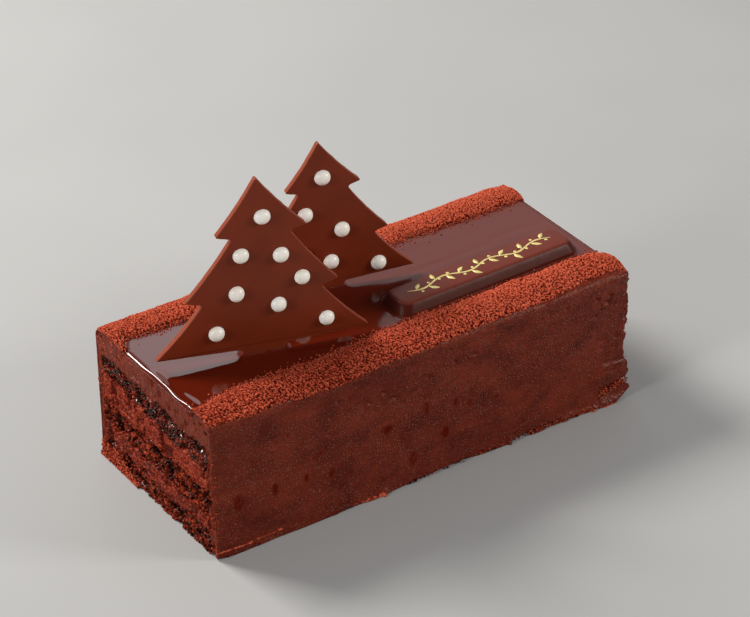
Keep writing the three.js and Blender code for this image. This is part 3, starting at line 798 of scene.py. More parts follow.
def coat_skin(x_values):
    """The outside of the coat as a grid (profile, along, 3): from the front foot up the front
    face, over both ridges and the trough between them, and down the back face."""
    low = np.arange(0, FINE_FOOT, FINE_STEP)
    wall = np.concatenate([low, np.linspace(FINE_FOOT, SHOULDER_Z, FRONT_ROWS)[:-1]])[:, None]
    x, z = np.broadcast_arrays(x_values[None, :], wall)
    flush = smoothstep(SHOULDER_Z, SHOULDER_Z - FLUSH, z)
    front_y = -half_width(z) - (front_relief(x, z) - 0.3) * flush
    lift = np.interp(x, FOOT_X, FOOT_LIFT) * smoothstep(6, 0, z)
    front = np.stack([x + torn_reach(x, z), front_y, z + lift], -1)
    wall = np.linspace(0, SHOULDER_Z, BACK_ROWS)[:-1, None]
    x, z = np.broadcast_arrays(x_values[None, :], wall)
    flush = smoothstep(SHOULDER_Z, SHOULDER_Z - FLUSH, z)
    back_y = half_width(z) + (back_relief(x, z) - 0.3) * flush
    back = np.stack([x, back_y, z + back_lift(x) * smoothstep(5, 0, z)], -1)
    first, last = (ridge_skin(ridge, x_values, rows)
                   for ridge, rows in zip(RIDGES.values(), RIDGE_ROWS))
    last = last[::-1]
    share = np.linspace(0, 1, TROUGH_ROWS)[1:-1, None, None]
    trough = first[-1:] + (last[:1] - first[-1:]) * share
    top = np.concatenate([first, trough, last])
    # At the left the knife has drawn the ganache up to the glaze.
    inside = (top[..., 1] > RIDGES["front"]["crest_y"]) & (top[..., 1] < RIDGES["back"]["crest_y"])
    drawn_up = TROUGH_Z + 0.65 * smoothstep(-HALF_LENGTH + 1.0, -HALF_LENGTH + 0.2, top[..., 0])
    top[..., 2] = np.where(inside, np.maximum(top[..., 2], drawn_up), top[..., 2])
    return np.concatenate([front, top, back[::-1]])


def coat_inside(skin_end):
    """The inside of the coat at one end, a point for each point of the outside: up the inner
    wall, across the ceiling over the layers and down the other wall."""
    y, z = skin_end[:, 1], skin_end[:, 2]
    wall = np.where(y < 0, inner_wall(-1, z), inner_wall(1, z))
    left, right = inner_wall(-1, CEILING_Z), inner_wall(1, CEILING_Z)
    top = np.abs(y) < np.abs(right) + 1.2
    inner_y = np.where(top, np.clip(y, left, right), wall)
    inner_z = np.where(top & (z > 45), border_height(BORDERS[0], y),
                       np.minimum(z, border_height(BORDERS[0], wall)))
    return np.stack([skin_end[:, 0], inner_y, inner_z], -1)


def in_spots(across, z, spots, power):
    """The largest exp(-d^(2 power)) over spots (across, z, half-width, half-height), with d
    the distance in their own sizes."""
    reach = np.full(np.shape(across), 9.0)
    for spot, spot_z, wide, high in spots:
        reach = np.minimum(reach, ((across - spot) / wide) ** 2 + ((z - spot_z) / high) ** 2)
    return np.exp(-reach ** power)


def ledges(y, z):
    """Wet ledges: how much each place belongs to one, and how deep it lies. A floor that
    runs in by 1.6 times its rise faces up and out, and a steep roof closes it."""
    most, depth = np.zeros(np.shape(y)), np.zeros(np.shape(y))
    for at_y, at_z, wide, high in LEDGES:
        rise = (z - at_z) / high
        inside = smoothstep(1.15, 0.85, np.abs(y - at_y) / wide)
        inside = inside * smoothstep(-0.25, 0, rise) * smoothstep(1.5, 1.2, rise)
        floor = 1.6 * high * np.interp(rise, [0, 1, 1.3], [0, 1, 0])
        depth = np.where(inside > most, floor, depth)
        most = np.maximum(most, inside)
    return most, depth


def cut_relief(y, z, seed):
    """How deep the knife has left the cut ganache: fine drags down the height, and nicks,
    with smeared crumb below the layers' top."""
    drag = 0.12 * waves(y, z, (0.8, 9), seed) + 0.1 * waves(y, z, 2.5, seed + 1)
    nicks = 1.1 * smoothstep(0.62, 0.85, waves(y, z, 1.7, seed + 2))
    return 0.1 + drag + nicks + crumb_relief(y, z, 0.9, seed + 3)[0] * smoothstep(*SMEARED, z)


def coat_dust(x, y, z, cut):
    """How much cocoa is smeared on the coat, as the largest of five: over the upper rear and
    the front edge of the left cut; on the front, in a seam at the left foot, at the ragged
    foot and in the gap between the torn lobes; and along the foot at the right."""
    top_rear = smoothstep(-6, 16, y) * smoothstep(39, 43, z)
    ragged = smoothstep(3.2, 0.8, z) * smoothstep(-32, -29, x) * smoothstep(-15, -18, x)
    return np.maximum.reduce([
        cut * (x < 0) * (0.36 * top_rear + 0.4 * smoothstep(-35.3, -35.8, y)),
        0.52 * bell(z, 2.6 + 0.5 * waves(x, 2.0, 5, 35), 0.7) * smoothstep(-48, -56, x) * (y < 0),
        0.48 * ragged * (y < 0),
        0.52 * smoothstep(1.4, 0.3, z) * (x > 48),
        0.7 * bell(z, torn_gap(x) + 0.3, 1.2) * smoothstep(69, 74, x) * (y < 0)])


def build_coat():
    """The ganache coat as one closed skin: outside, cut face at +X, inside, cut face at -X."""
    fine = np.arange(HALF_LENGTH - FINE_END, HALF_LENGTH, FINE_STEP)
    count = int((LENGTH - FINE_END) / size("grid")) + 1
    coarse = np.linspace(-HALF_LENGTH, fine[0], count)[:-1]
    skin = coat_skin(np.concatenate([coarse, fine, [HALF_LENGTH]]))
    shares = np.linspace(0, 1, 26)[1:]
    columns, marks = [skin], [np.zeros(skin.shape[:2])]
    for end in (1, -1):
        edge = skin[:, -1] if end > 0 else skin[:, 0]
        inside = coat_inside(edge)
        face = edge[:, None] + (inside - edge)[:, None] * shares[None, :, None]
        relief = cut_relief(face[..., 1], face[..., 2], 40 + end)
        if end < 0:
            on_ledge, depth = ledges(face[..., 1], face[..., 2])
            relief = relief + (0.1 + depth - relief) * on_ledge
        face[..., 0] -= end * relief * smoothstep(0, 0.12, shares)[None, :]
        columns.append(face if end > 0 else face[:, ::-1])
        marks.append(np.ones(face.shape[:2]))
    points, cut = np.concatenate(columns, 1), np.concatenate(marks, 1)
    x, y, z = (points[..., i] for i in range(3))
    damp = in_spots(x, z, DAMP, 3) * (y < -30)
    crumbed = cut * smoothstep(*SMEARED, z) * (0.35 + 0.7 * waves(y, z, 2.5, 37))
    marks = {"cut": cut, "dust": coat_dust(x, y, z, cut), "crumbed": np.clip(crumbed, 0, 1),
             "damp": np.clip(damp * (0.75 + 0.5 * waves(x, z, 1.2, 33)), 0, 1) * (1 - cut),
             "glint": cut * (x < 0) * ledges(y, z)[0]}
    points, faces = carried(np.swapaxes(points, 0, 1))
    make_piece("ganache_coat_spread", points, faces, spread_ganache(), ["ganache_coat"],
               {key: values.T for key, values in marks.items()})


# The cut faces

def crumb_relief(y, z, depth, seed, fineness=1.0):
    """How deep each place of a cut sponge lies, and its tone: rounded lumps of two sizes,
    grit and torn hollows with steep sides, all on a plane that is warped by noise."""
    places = pair(y, z)
    warp = np.stack([layered_noise(places, 2.4, seed), layered_noise(places, 2.4, seed + 31)], -1)
    places = places + 0.9 * warp
    crumb = size("crumb") * fineness
    coarse, coarse_tone = lumps(places, crumb, seed + 2)
    fine, fine_tone = lumps(places, crumb * 0.5, seed + 3)
    grit = noise(places, 0.45, seed + 4)
    torn = smoothstep(0.02, 0.42, layered_noise(places, 4.2, seed + 6, 4))
    relief = 0.2 * (1 - coarse) + 0.14 * (1 - fine) + 0.05 * grit + 0.55 * torn
    return depth * relief, 0.4 * coarse_tone + 0.6 * fine_tone


def build_layer(number, name, kind, wet, material):
    """One layer of the inside: the grids of its two cut faces, joined along the cake."""
    spacing = size("crumb_grid")
    depth, fineness = (size("crumb_depth"), 1.0) if kind == "sponge" else (size("cream_depth"), 0.5)
    # The bottom layer ends at the floor.
    upper, lower = (BORDERS + [(0, 0, 0, 0)])[number:number + 2]
    rows, columns = int((upper[0] - lower[0]) / spacing) + 1, int(FACE_WIDTH / spacing)
    share_z, share_y = np.meshgrid(
        np.linspace(0, 1, rows), np.linspace(0, 1, columns), indexing="ij")
    faces, marks = [], {"hollow": [], "tone": [], "wet": []}
    for end in (1, -1):
        y = TOP_WIDTH / 2 * (2 * share_y - 1)
        # The borders follow y and the walls follow z, so both are worked out twice.
        for _ in range(2):
            top, bottom = border_height(upper, y) + 0.05, border_height(lower, y)
            z = bottom + (top - bottom) * share_z
            left, right = inner_wall(-1, z) - 0.05, inner_wall(1, z) + 0.05
            y = left + (right - left) * share_y
        relief, tone = crumb_relief(y, z, depth, 80 + 11 * number + 3 * end, fineness)
        on_ledge = 0
        if end < 0:
            relief = relief + 0.5 * depth * in_spots(y, z, HOLLOWS, 2)
            on_ledge, ledge_depth = ledges(y, z)
            relief = relief + (0.2 * depth + ledge_depth - relief) * on_ledge
        if kind == "cream":
            relief = relief + 0.12 * waves(y, z, (5, 0.8), 90 + number)
        faces.append(np.stack([end * (HALF_LENGTH + 0.35 - relief), y, z], -1))
        # The hollow mark sets the painted shade of each place: the deeper it lies, the darker.
        marks["hollow"].append(smoothstep(0.2, 0.75, relief / depth) * (1 - on_ledge))
        marks["tone"].append(tone)
        soaked = wet + 0.35 * layered_noise(pair(y, z), 7, 95 + number)
        marks["wet"].append(soaked + 2.5 * on_ledge)
    points, quads = slab(*faces)
    make_piece(f"{name}_cut", points, quads, material, [name],
               {key: np.stack(values) for key, values in marks.items()})


def build_layers():
    """All the layers of sponge and cream."""
    materials = {
        kind: torn_crumb(name, colour(f"{kind}_light"), colour(kind), colour(f"{kind}_dark"))
        for kind, name in (("sponge", "soaked_chocolate_sponge"),
                           ("cream", "chocolate_cream_smeared"))}
    for number, (name, kind, wet) in enumerate(LAYERS):
        build_layer(number, name, kind, wet, materials[kind])


# Cocoa

def build_cocoa_ridge(which, material):
    """The sifted cocoa on one ridge: the ridge's skin raised by packed clumps, and sunk below
    the ganache beyond its ragged borders. A coarser skin under it closes it."""
    ridge = RIDGES[which]
    spacing = size("cocoa_grid")
    x_values = np.linspace(-HALF_LENGTH - 0.1, HALF_LENGTH + 0.1, int(LENGTH / spacing) + 1)
    count = int(RIDGE_ACROSS / spacing)
    skin = ridge_skin(ridge, x_values, count)
    slope = np.gradient(ridge_line(ridge, count), axis=0)
    outward = ridge["side"] * np.stack([slope[:, 1], -slope[:, 0]], -1)
    outward = (outward / np.linalg.norm(outward, axis=1, keepdims=True))[:, None]
    x = skin[..., 0]
    share = np.linspace(0, 1, count)[:, None]
    places = pair(x, RIDGE_ACROSS * share + 40 * ridge["side"])
    clump = size("cocoa_clump")
    warped = places + 0.35 * np.stack([noise(places, 0.9, 52), noise(places, 0.9, 54)], -1)
    coarse, coarse_tone = lumps(warped, clump, 51, 3.2)
    fine, fine_tone = lumps(warped, clump * 0.62, 53, 2.8)
    height = np.maximum(coarse, 0.6 * fine)
    drift = 0.5 + 0.5 * layered_noise(places, 5, 55)
    drift = drift - 0.5 * smoothstep(60, -50, x) + 0.3 * (which == "back")
    start = 40 + 20 * waves(x, 7.0, 14, 57)
    if which == "front":
        start = np.interp(x, *zip(*COCOA_START))
    start = start / 90 * ROUND_SHARE
    ragged = 0.02 * noise(places, 1.6, 58) + 0.02 * (height - 0.5)
    over = np.abs(x_values) - HALF_LENGTH - np.where(x_values > 0, 0.6, 0.2)
    inside = (smoothstep(start, start + 0.03, share + ragged)
              * smoothstep(0.985, 0.93, share - ragged) * smoothstep(0, -0.7, over + 8 * ragged))
    thick = (0.1 + size("cocoa_depth") * height * (0.8 + 0.4 * drift)) * inside
    thick = thick - 0.4 * (1 - inside)
    upper, lower = skin.copy(), skin[::-8].copy()
    upper[..., 1:] += outward * thick[..., None]
    lower[..., 1:] -= 0.7 * outward[::-8]
    points, faces = carried(np.concatenate([upper, lower]))
    # The depth mark drives the cocoa's painted shade; the drift also makes the colour darker
    # towards the left and lighter on the back ridge.
    marks = {"depth": height * (0.98 + 0.4 * drift), "tone": 0.5 * coarse_tone + 0.5 * fine_tone}
    make_piece(f"cocoa_{which}", points, faces, material, None,
               {key: np.concatenate([values, np.zeros(lower.shape[:2])])
                for key, values in marks.items()})


def lump_cloud(name, centres, radii, seed, material, marks):
    """Many small lumps as one mesh: for each a twelve-cornered ball, turned at random and
    with every corner drawn in or out by a random share."""
    golden = (1 + 5 ** 0.5) / 2
    ball = np.array([(-1, golden, 0), (1, golden, 0), (-1, -golden, 0), (1, -golden, 0),
                     (0, -1, golden), (0, 1, golden), (0, -1, -golden), (0, 1, -golden),
                     (golden, 0, -1), (golden, 0, 1), (-golden, 0, -1), (-golden, 0, 1)])
    ball = ball / np.linalg.norm(ball[0])
    faces = np.array([(0, 11, 5), (0, 5, 1), (0, 1, 7), (0, 7, 10), (0, 10, 11), (1, 5, 9),
                      (5, 11, 4), (11, 10, 2), (10, 7, 6), (7, 1, 8), (3, 9, 4), (3, 4, 2),
                      (3, 2, 6), (3, 6, 8), (3, 8, 9), (4, 9, 5), (2, 4, 11), (6, 2, 10),
                      (8, 6, 7), (9, 8, 1)])
    rng = np.random.default_rng(seed)
    count = len(centres)
    axes, _ = np.linalg.qr(rng.normal(size=(count, 3, 3)))
    axes[np.linalg.det(axes) < 0, :, 0] *= -1
    centres[:, 2] = np.maximum(centres[:, 2], 1.15 * radii)
    reach = radii[:, None, None] * rng.uniform(0.65, 1.2, (count, 12, 1))
    points = centres[:, None] + np.einsum("nij,kj->nki", axes, ball) * reach
    index = faces[None] + 12 * np.arange(count)[:, None, None]
    make_piece(name, points, [index.reshape(-1, 3)], material, None,
               {key: np.repeat(values, 12) for key, values in marks.items()})


def build_cocoa():
    """The cocoa: two dusted ridges and the loose grains round them."""
    material = cocoa_powder()
    for which in RIDGES:
        build_cocoa_ridge(which, material)
    rng = np.random.default_rng(5)
    places = []
    for ridge in RIDGES.values():
        # Along the inner edge, thinning out over the glaze.
        count = 1500
        x = rng.uniform(-HALF_LENGTH + 0.5, HALF_LENGTH - 0.5, count)
        out = rng.exponential(0.8, count) - 0.6
        y = ridge["edge"] + ridge_wander(x, ridge) - ridge["side"] * out
        places.append(np.stack([x, y, glaze_height(x, y) + 0.05], -1))
    # Left by a finger at the back foot of the left end.
    count = 1800
    y = rng.uniform(12, 36, count)
    z = 0.2 + rng.uniform(0, 1, count) ** 1.3 * (0.6 + 5.0 * smoothstep(12, 26, y))
    x = -HALF_LENGTH - 0.3 - 0.6 * smoothstep(3, 0, z) + rng.uniform(0, 0.9, count)
    places.append(np.stack([x, y, z], -1))
    # In the gap at the right foot and along the ragged foot.
    x = np.concatenate([rng.uniform(69, 80.5, 130), rng.uniform(-30, -17, 110),
                        rng.uniform(40, 70, 150)])
    z = np.where(x > 69, torn_gap(x) + rng.normal(0, 0.6, len(x)),
                 rng.uniform(0.3, 1.8, len(x)))
    y = -half_width(z) + rng.uniform(-0.2, 0.9, len(x)) * np.where(x > 69, 1, 0.2)
    places.append(np.stack([x, y, z], -1))
    centres = np.concatenate(places)
    radii = rng.uniform(0.14, 0.34, len(centres))
    radii[-count - len(x):] *= 1.25
    lump_cloud("cocoa_grains", centres, radii, 6, material,
               {"depth": rng.uniform(0.3, 1, len(centres)),
                "tone": rng.uniform(0, 1, len(centres))})


# Glaze

def glaze_height(x, y):
    """Height of the glaze: level, a little lower to the right, with a narrow bead along the
    left cut edge and a shallow dip inside it, and drawn up by exp(-distance) at the trunks,
    the bar and the ridges."""
    z = GLAZE_Z - size("glaze_fall") * smoothstep(-20, HALF_LENGTH, x)
    inner = x + HALF_LENGTH + 0.5 * waves(y, 0.0, 7, 107)
    front_part = smoothstep(6, -10, y)
    bead = bell(inner, 0.7, 0.9) * (0.25 + 0.35 * front_part)
    z = z + size("glaze_lip") * (bead - 0.3 * bell(inner, 3.2, 1.6) * front_part)
    for fir in FIRS.values():
        along, behind = across_top(x, y, fir["at"], fir["yaw"])
        off = np.hypot(np.clip(np.abs(along) - TRUNK_HALF * fir["scale"], 0, None),
                       np.clip(-behind, 0, None) + np.clip(behind - size("plate"), 0, None))
        z = z + 0.75 * np.exp(-off / 0.9)
    past = [np.clip(np.abs(part) - side / 2 + BAR_CORNER, 0, None)
            for part, side in zip(across_top(x, y, BAR_AT, BAR_YAW), BAR_SIZE)]
    z = z + 0.45 * np.exp(-np.clip(np.hypot(*past) - BAR_CORNER, 0, None) / 0.8)
    for ridge in RIDGES.values():
        gap = ridge["side"] * (ridge["edge"] + ridge_wander(x, ridge) - y)
        z = z + 0.3 * np.exp(-np.clip(gap, 0, None) / 0.7)
    drag = 0.05 * waves(x, y, (16, 2.4), 101) + 0.05 * waves(x, y, 9, 103)
    return z + drag * smoothstep(-5, 25, x) + 0.035 * waves(x, y, 18, 105)


def build_glaze():
    """The glaze: rings across the trough, carried along it, with both ends rounded down to
    the cut edges by the first part of a quarter circle."""
    columns, radius, reach = 180, 3.2, 2.2
    # Distances from the cut edge, close together where the glaze rounds down.
    ends = np.array([0, 0.04, 0.1, 0.18, 0.27, 0.37, 0.48, 0.6, 0.75, 0.95, 1.2, 1.5, 1.85,
                     2.2, 2.6, 3.0]) + GLAZE_INSET
    middle = np.linspace(3.8, LENGTH - 3.8, 340)
    x_values = np.concatenate([ends, middle, LENGTH - ends[::-1]]) - HALF_LENGTH
    x = np.repeat(x_values[None, :], columns, 0)
    near, far = (ridge["edge"] + ridge_wander(x, ridge) + 1.2 * ridge["side"]
                 for ridge in RIDGES.values())
    y = near + (far - near) * np.linspace(0, 1, columns)[:, None]
    short = np.clip(reach - (HALF_LENGTH - GLAZE_INSET - np.abs(x)), 0, reach)
    z = glaze_height(x, y) - (radius - np.sqrt(radius ** 2 - short ** 2))
    upper = np.stack([x, y, z], -1)
    under = upper[[-1, 0]]
    under[..., 2] = TROUGH_Z - 0.3
    points, faces = carried(np.concatenate([upper, under]))
    make_piece("glaze_poured", points, faces, mirror_glaze(), ["glaze"])


# Firs

def fir_corners(scale):
    """Corners of a fir as (place, rounding, whether the edge before it curves inwards),
    anticlockwise from the foot of the trunk at the right."""
    foot = (TROUGH_Z + 0.3 - FIR_FOOT_Z) / scale
    right = [((TRUNK_HALF, foot), 0.05, False), ((TRUNK_HALF, FIR_UNDERSIDE), NOTCH_ROUND, False),
             (FIR_TIPS[0], TIP_ROUND, False), (FIR_NOTCHES[0], NOTCH_ROUND, True),
             (FIR_TIPS[1], TIP_ROUND, False), (FIR_NOTCHES[1], NOTCH_ROUND, True),
             (FIR_TIPS[2], TIP_ROUND, False)]
    curves = [entry[2] for entry in right[1:]] + [True]
    left = [((-x, y), turn, curve) for ((x, y), turn, _), curve in zip(right, curves)][::-1]
    entries = [*right, (FIR_APEX, TIP_ROUND, True), *left]
    return [(np.array(place) * scale, turn, curve) for place, turn, curve in entries]


def fir_outline(scale):
    """The outline of a fir as points: each corner is a quadratic curve, and each bough's edge
    is a line drawn in by 4 sag t (1 - t)."""
    corners = fir_corners(scale)
    points = []
    for i, (place, turn, _) in enumerate(corners):
        before, (after, next_turn, curve) = corners[i - 1][0], corners[(i + 1) % len(corners)]
        start = place + (before - place) / np.linalg.norm(before - place) * turn
        end = place + (after - place) / np.linalg.norm(after - place) * turn
        t = np.linspace(0, 1, 7)[:, None]
        points.append((1 - t) ** 2 * start + 2 * t * (1 - t) * place + t ** 2 * end)
        run = after + (place - after) / np.linalg.norm(place - after) * next_turn - end
        steps = 1 if i == len(corners) - 1 else max(4, int(np.abs(after - place).max() / 0.8))
        t = np.linspace(0, 1, steps + 1)[1:-1, None]
        inwards = np.array([-run[1], run[0]]) / np.linalg.norm(run)
        points.append(end + run * t + inwards * (4 * BOUGH_SAG * curve) * t * (1 - t))
    return np.concatenate(points)


def fir_to_cake(local, fir):
    """Points in a fir's frame (across, up, out of the front) moved to where it stands."""
    c, s = math.cos(math.radians(fir["lean"])), math.sin(math.radians(fir["lean"]))
    across, up, out = (local[..., i] for i in range(3))
    return onto_top(across * c - up * s, -out, FIR_FOOT_Z + (across * s + up * c),
                    fir["at"], fir["yaw"])


def build_fir(which, material):
    """A fir cut from a sheet: a rounded edge carried round the outline, between two flat
    faces. The edge is a little uneven, as a warm cutter leaves it."""
    fir = FIRS[which]
    outline = fir_outline(fir["scale"])
    ahead = np.roll(outline, -1, 0) - np.roll(outline, 1, 0)
    inwards = np.stack([-ahead[:, 1], ahead[:, 0]], -1)
    inwards = inwards / np.linalg.norm(inwards, axis=1, keepdims=True)
    bevel, plate = size("plate_bevel"), size("plate")
    turn = np.linspace(0, math.pi / 2, 5)
    inset = bevel * (1 - np.sin(turn))
    rise = bevel * (1 - np.cos(turn))
    inset = np.concatenate([[bevel + 0.06], inset, [0.03, 0.03], inset[::-1], [bevel + 0.06]])
    level = np.concatenate([[0], -rise, [-plate * 0.38, -plate * 0.66],
                            -plate + rise[::-1], [-plate]])
    rough = 0.07 * waves(outline[:, 0] * 3, outline[:, 1], 2.2, 131)
    rough = rough[:, None] * (np.abs(level + plate / 2) < plate * 0.45)[None, :]
    flat = outline[:, None, :] + inwards[:, None, :] * (inset[None, :] + rough)[..., None]
    depth = np.repeat(level[None, :], len(outline), 0)
    points = fir_to_cake(np.concatenate([flat, depth[..., None]], -1), fir)
    index = numbered(points)
    # Both faces are ladders of quads between the two sides, which climb in equal steps, with
    # a triangle at the apex.
    half = len(outline) // 2
    rungs = np.stack([index[:half], index[::-1][:half]], 1)
    faces = [grid_quads(np.concatenate([index, index[:1]], 0)),
             grid_quads(rungs[:, :, 0])[:, ::-1], grid_quads(rungs[:, :, -1]),
             index[None, [half + 1, half, half - 1], 0],
             index[None, [half - 1, half, half + 1], -1]]
    edge = np.ones(points.shape[:2])
    edge[:, [0, -1]] = 0
    edge[:, [1, -2]] = 0.55
    make_piece(f"fir_{which}", points, faces, material, [fir["node"]],
               {"edge": edge}, flat=(1, 2, 3, 4))


def build_firs():
    """Both firs."""
    material = tempered_chocolate("tempered_chocolate_sheet", "fir", "fir_edge", 0.34)
    for which in FIRS:
        build_fir(which, material)


def build_pearls():
    """The sugar pearls: balls pressed on the firs, flatter behind the face than before it,
    each a little out of round."""
    rows, columns = 14, 22
    theta = np.linspace(0, math.pi, rows)[:, None]
    phi = np.linspace(0, 2 * math.pi, columns, endpoint=False)[None, :]
    radius, height = size("pearl_radius"), size("pearl_height")
    rng = np.random.default_rng(17)
    # One ball's faces: bands of quads, and a fan of triangles over each pole.
    index = np.arange((rows - 2) * columns).reshape(rows - 2, columns)
    fans = [np.stack([np.full(columns, index.size), index[0], np.roll(index[0], -1)], -1),
            np.stack([np.full(columns, index.size + 1), np.roll(index[-1], -1), index[-1]], -1)]
    ball_faces = [grid_quads(np.concatenate([index, index[:, :1]], 1)), np.concatenate(fans)]
    balls = []
    for fir in FIRS.values():
        for across, up in fir["pearls"]:
            wide, tall, deep = rng.uniform(0.96, 1.03, 3)
            ball = np.stack(np.broadcast_arrays(
                radius * wide * np.sin(theta) * np.cos(phi),
                radius * tall * np.sin(theta) * np.sin(phi),
                np.where(theta < math.pi / 2, height * deep, 0.9) * np.cos(theta) + 0 * phi), -1)
            ball = ball + 0.03 * noise(ball + across, 1.6, 19)[..., None]
            points = fir_to_cake(ball + [across, up, 0], fir)
            poles = [points[0].mean(0), points[-1].mean(0)]
            balls.append(np.concatenate([points[1:-1].reshape(-1, 3), poles]))
    faces = [np.concatenate([part + i * (index.size + 2) for i in range(len(balls))])
             for part in ball_faces]
    make_piece("sugar_pearls", np.concatenate(balls), faces, sugar_pearl(),
               ["tree_front", "tree_rear"])


# The bar

def bar_top(across):
    """Height of the bar over its foot at a distance from its edge: a straight bevel, turned
    by a small curve into a top with a slight crown. The curve is the lower of the bevel's
    line and the crown, smoothed by -k ln(exp(-a / k) + exp(-b / k))."""
    bevel = 0.9 + across * 2.0
    crown = 4.35 + 0.55 * np.sin(math.pi / 2 * np.clip(across / 7.5, 0, 1))
    k = 0.55
    return -k * np.log(np.exp(-bevel / k) + np.exp(-crown / k))


def rounded_ring(inset, count):
    """A rounded rectangle inside the bar's outline by an inset, as points at even shares of
    the corners and sides."""
    half_x, half_y = BAR_SIZE[0] / 2 - inset, BAR_SIZE[1] / 2 - inset
    corner = min(BAR_CORNER - 0.25 * inset, 0.8 * half_y)
    turns = []
    for i, (sx, sy) in enumerate([(1, 1), (-1, 1), (-1, -1), (1, -1)]):
        angle = math.pi / 2 * (i + np.linspace(0, 1, count))
        turns.append(np.stack([sx * (half_x - corner) + corner * np.cos(angle),
                               sy * (half_y - corner) + corner * np.sin(angle)], -1))
    ring = []
    for i, turn in enumerate(turns):
        share = np.linspace(0, 1, 60 if i % 2 == 0 else 12)[1:-1, None]
        ring += [turn, turn[-1] + (turns[(i + 1) % 4][0] - turn[-1]) * share]
    return np.concatenate(ring)


def build_bar():
    """The moulded bar: rings of a rounded rectangle, each further in and higher by the
    bevel's curve, closed over the middle."""
    insets = np.concatenate([[0, 0.02, 0.12, 0.3], np.linspace(0.6, 3.4, 22),
                             np.linspace(3.8, BAR_SIZE[1] / 2 - 0.12, 8)])
    heights = bar_top(insets)
    # The foot sinks into the glaze, under a short upright side.
    heights[:2] = -0.5, 0.55
    plan = np.stack([rounded_ring(inset, 14) for inset in insets], 1)
    z = np.broadcast_to(heights, plan.shape[:2])
    z = BAR_FOOT_Z + (z + 0.03 * noise(plan, 5, 141) * (z > 3))
    points, faces = carried(onto_top(plan[..., 0], plan[..., 1], z, BAR_AT, BAR_YAW))
    # The edge mark covers the bevels, which the material darkens as painted shade.
    edge = np.broadcast_to(smoothstep(2.2, 1.4, insets), plan.shape[:2])
    material = tempered_chocolate("moulded_chocolate", "bar", "bar_side", 0.36)
    make_piece("bar_moulded", points, faces, material, ["chocolate_bar"],
               {"edge": edge}, flat=(1,))


def gold_slab(plan):
    """A thin slab of gold on the bar's top over a grid of its plan."""
    level = BAR_FOOT_Z + bar_top(BAR_SIZE[1] / 2 - np.abs(plan[..., 1]))
    return slab(*(onto_top(plan[..., 0], plan[..., 1], level + shift, BAR_AT, BAR_YAW)
                  for shift in (size("gold") * 0.5, -size("gold") * 0.5)))


def ribbon(line, widths):
    """A flat ribbon along a line on the bar, as a grid three points wide."""
    ahead = np.gradient(line, axis=0)
    sideways = np.stack([-ahead[:, 1], ahead[:, 0]], -1)
    sideways = sideways / np.linalg.norm(sideways, axis=1, keepdims=True)
    shares = np.array([-0.5, 0, 0.5])
    return line[:, None] + sideways[:, None] * (widths[:, None] * shares[None, :])[..., None]


def build_gold():
    """A plain gold garland on the bar: a stem that waves as a sin(2 pi x / run), with pointed
    leaves to both sides in turn and a dot over against each leaf."""
    x = np.linspace(-STEM_HALF, STEM_HALF, 220)
    stem = np.stack([x, STEM_MIDDLE + STEM_RISE * np.sin(2 * math.pi * x / STEM_RUN)], -1)
    leaves = [ribbon(stem, 0.2 + 0.45 * smoothstep(0, 4, STEM_HALF - np.abs(x)))]
    along = np.linspace(0, 1, 14)
    angle = np.linspace(0, 2 * math.pi, 17)[:, None, None]
    circle = np.concatenate([np.cos(angle), np.sin(angle)], -1) * [[0.02], [0.3], [0.52]]
    dots = []
    for number in range(-6, 7):
        side = -1 if number % 2 else 1
        wave = 2 * math.pi * LEAF_SPACING * number / STEM_RUN
        foot = np.array([LEAF_SPACING * number, STEM_MIDDLE + STEM_RISE * math.sin(wave)])
        heading = math.atan(STEM_RISE * 2 * math.pi / STEM_RUN * math.cos(wave)) + side * 1.05
        bend = heading - side * 0.7 * (along - 0.5)
        steps = np.stack([np.cos(bend), np.sin(bend)], -1) * LEAF_LENGTH / len(along)
        leaves.append(ribbon(foot + np.cumsum(steps, 0),
                             0.14 + LEAF_WIDTH * np.sin(math.pi * along) ** 1.2))
        dots.append(foot + [1.2, -side * 2.1 * math.cos(heading)] + circle)
    points, faces = [], []
    for plan in leaves + dots:
        part_points, part_faces = gold_slab(plan)
        faces.append(part_faces[0] + sum(map(len, points)))
        points.append(part_points)
    make_piece("gold_garland", np.concatenate(points), [np.concatenate(faces)], gold_paint(),
               None)


# Crumbs

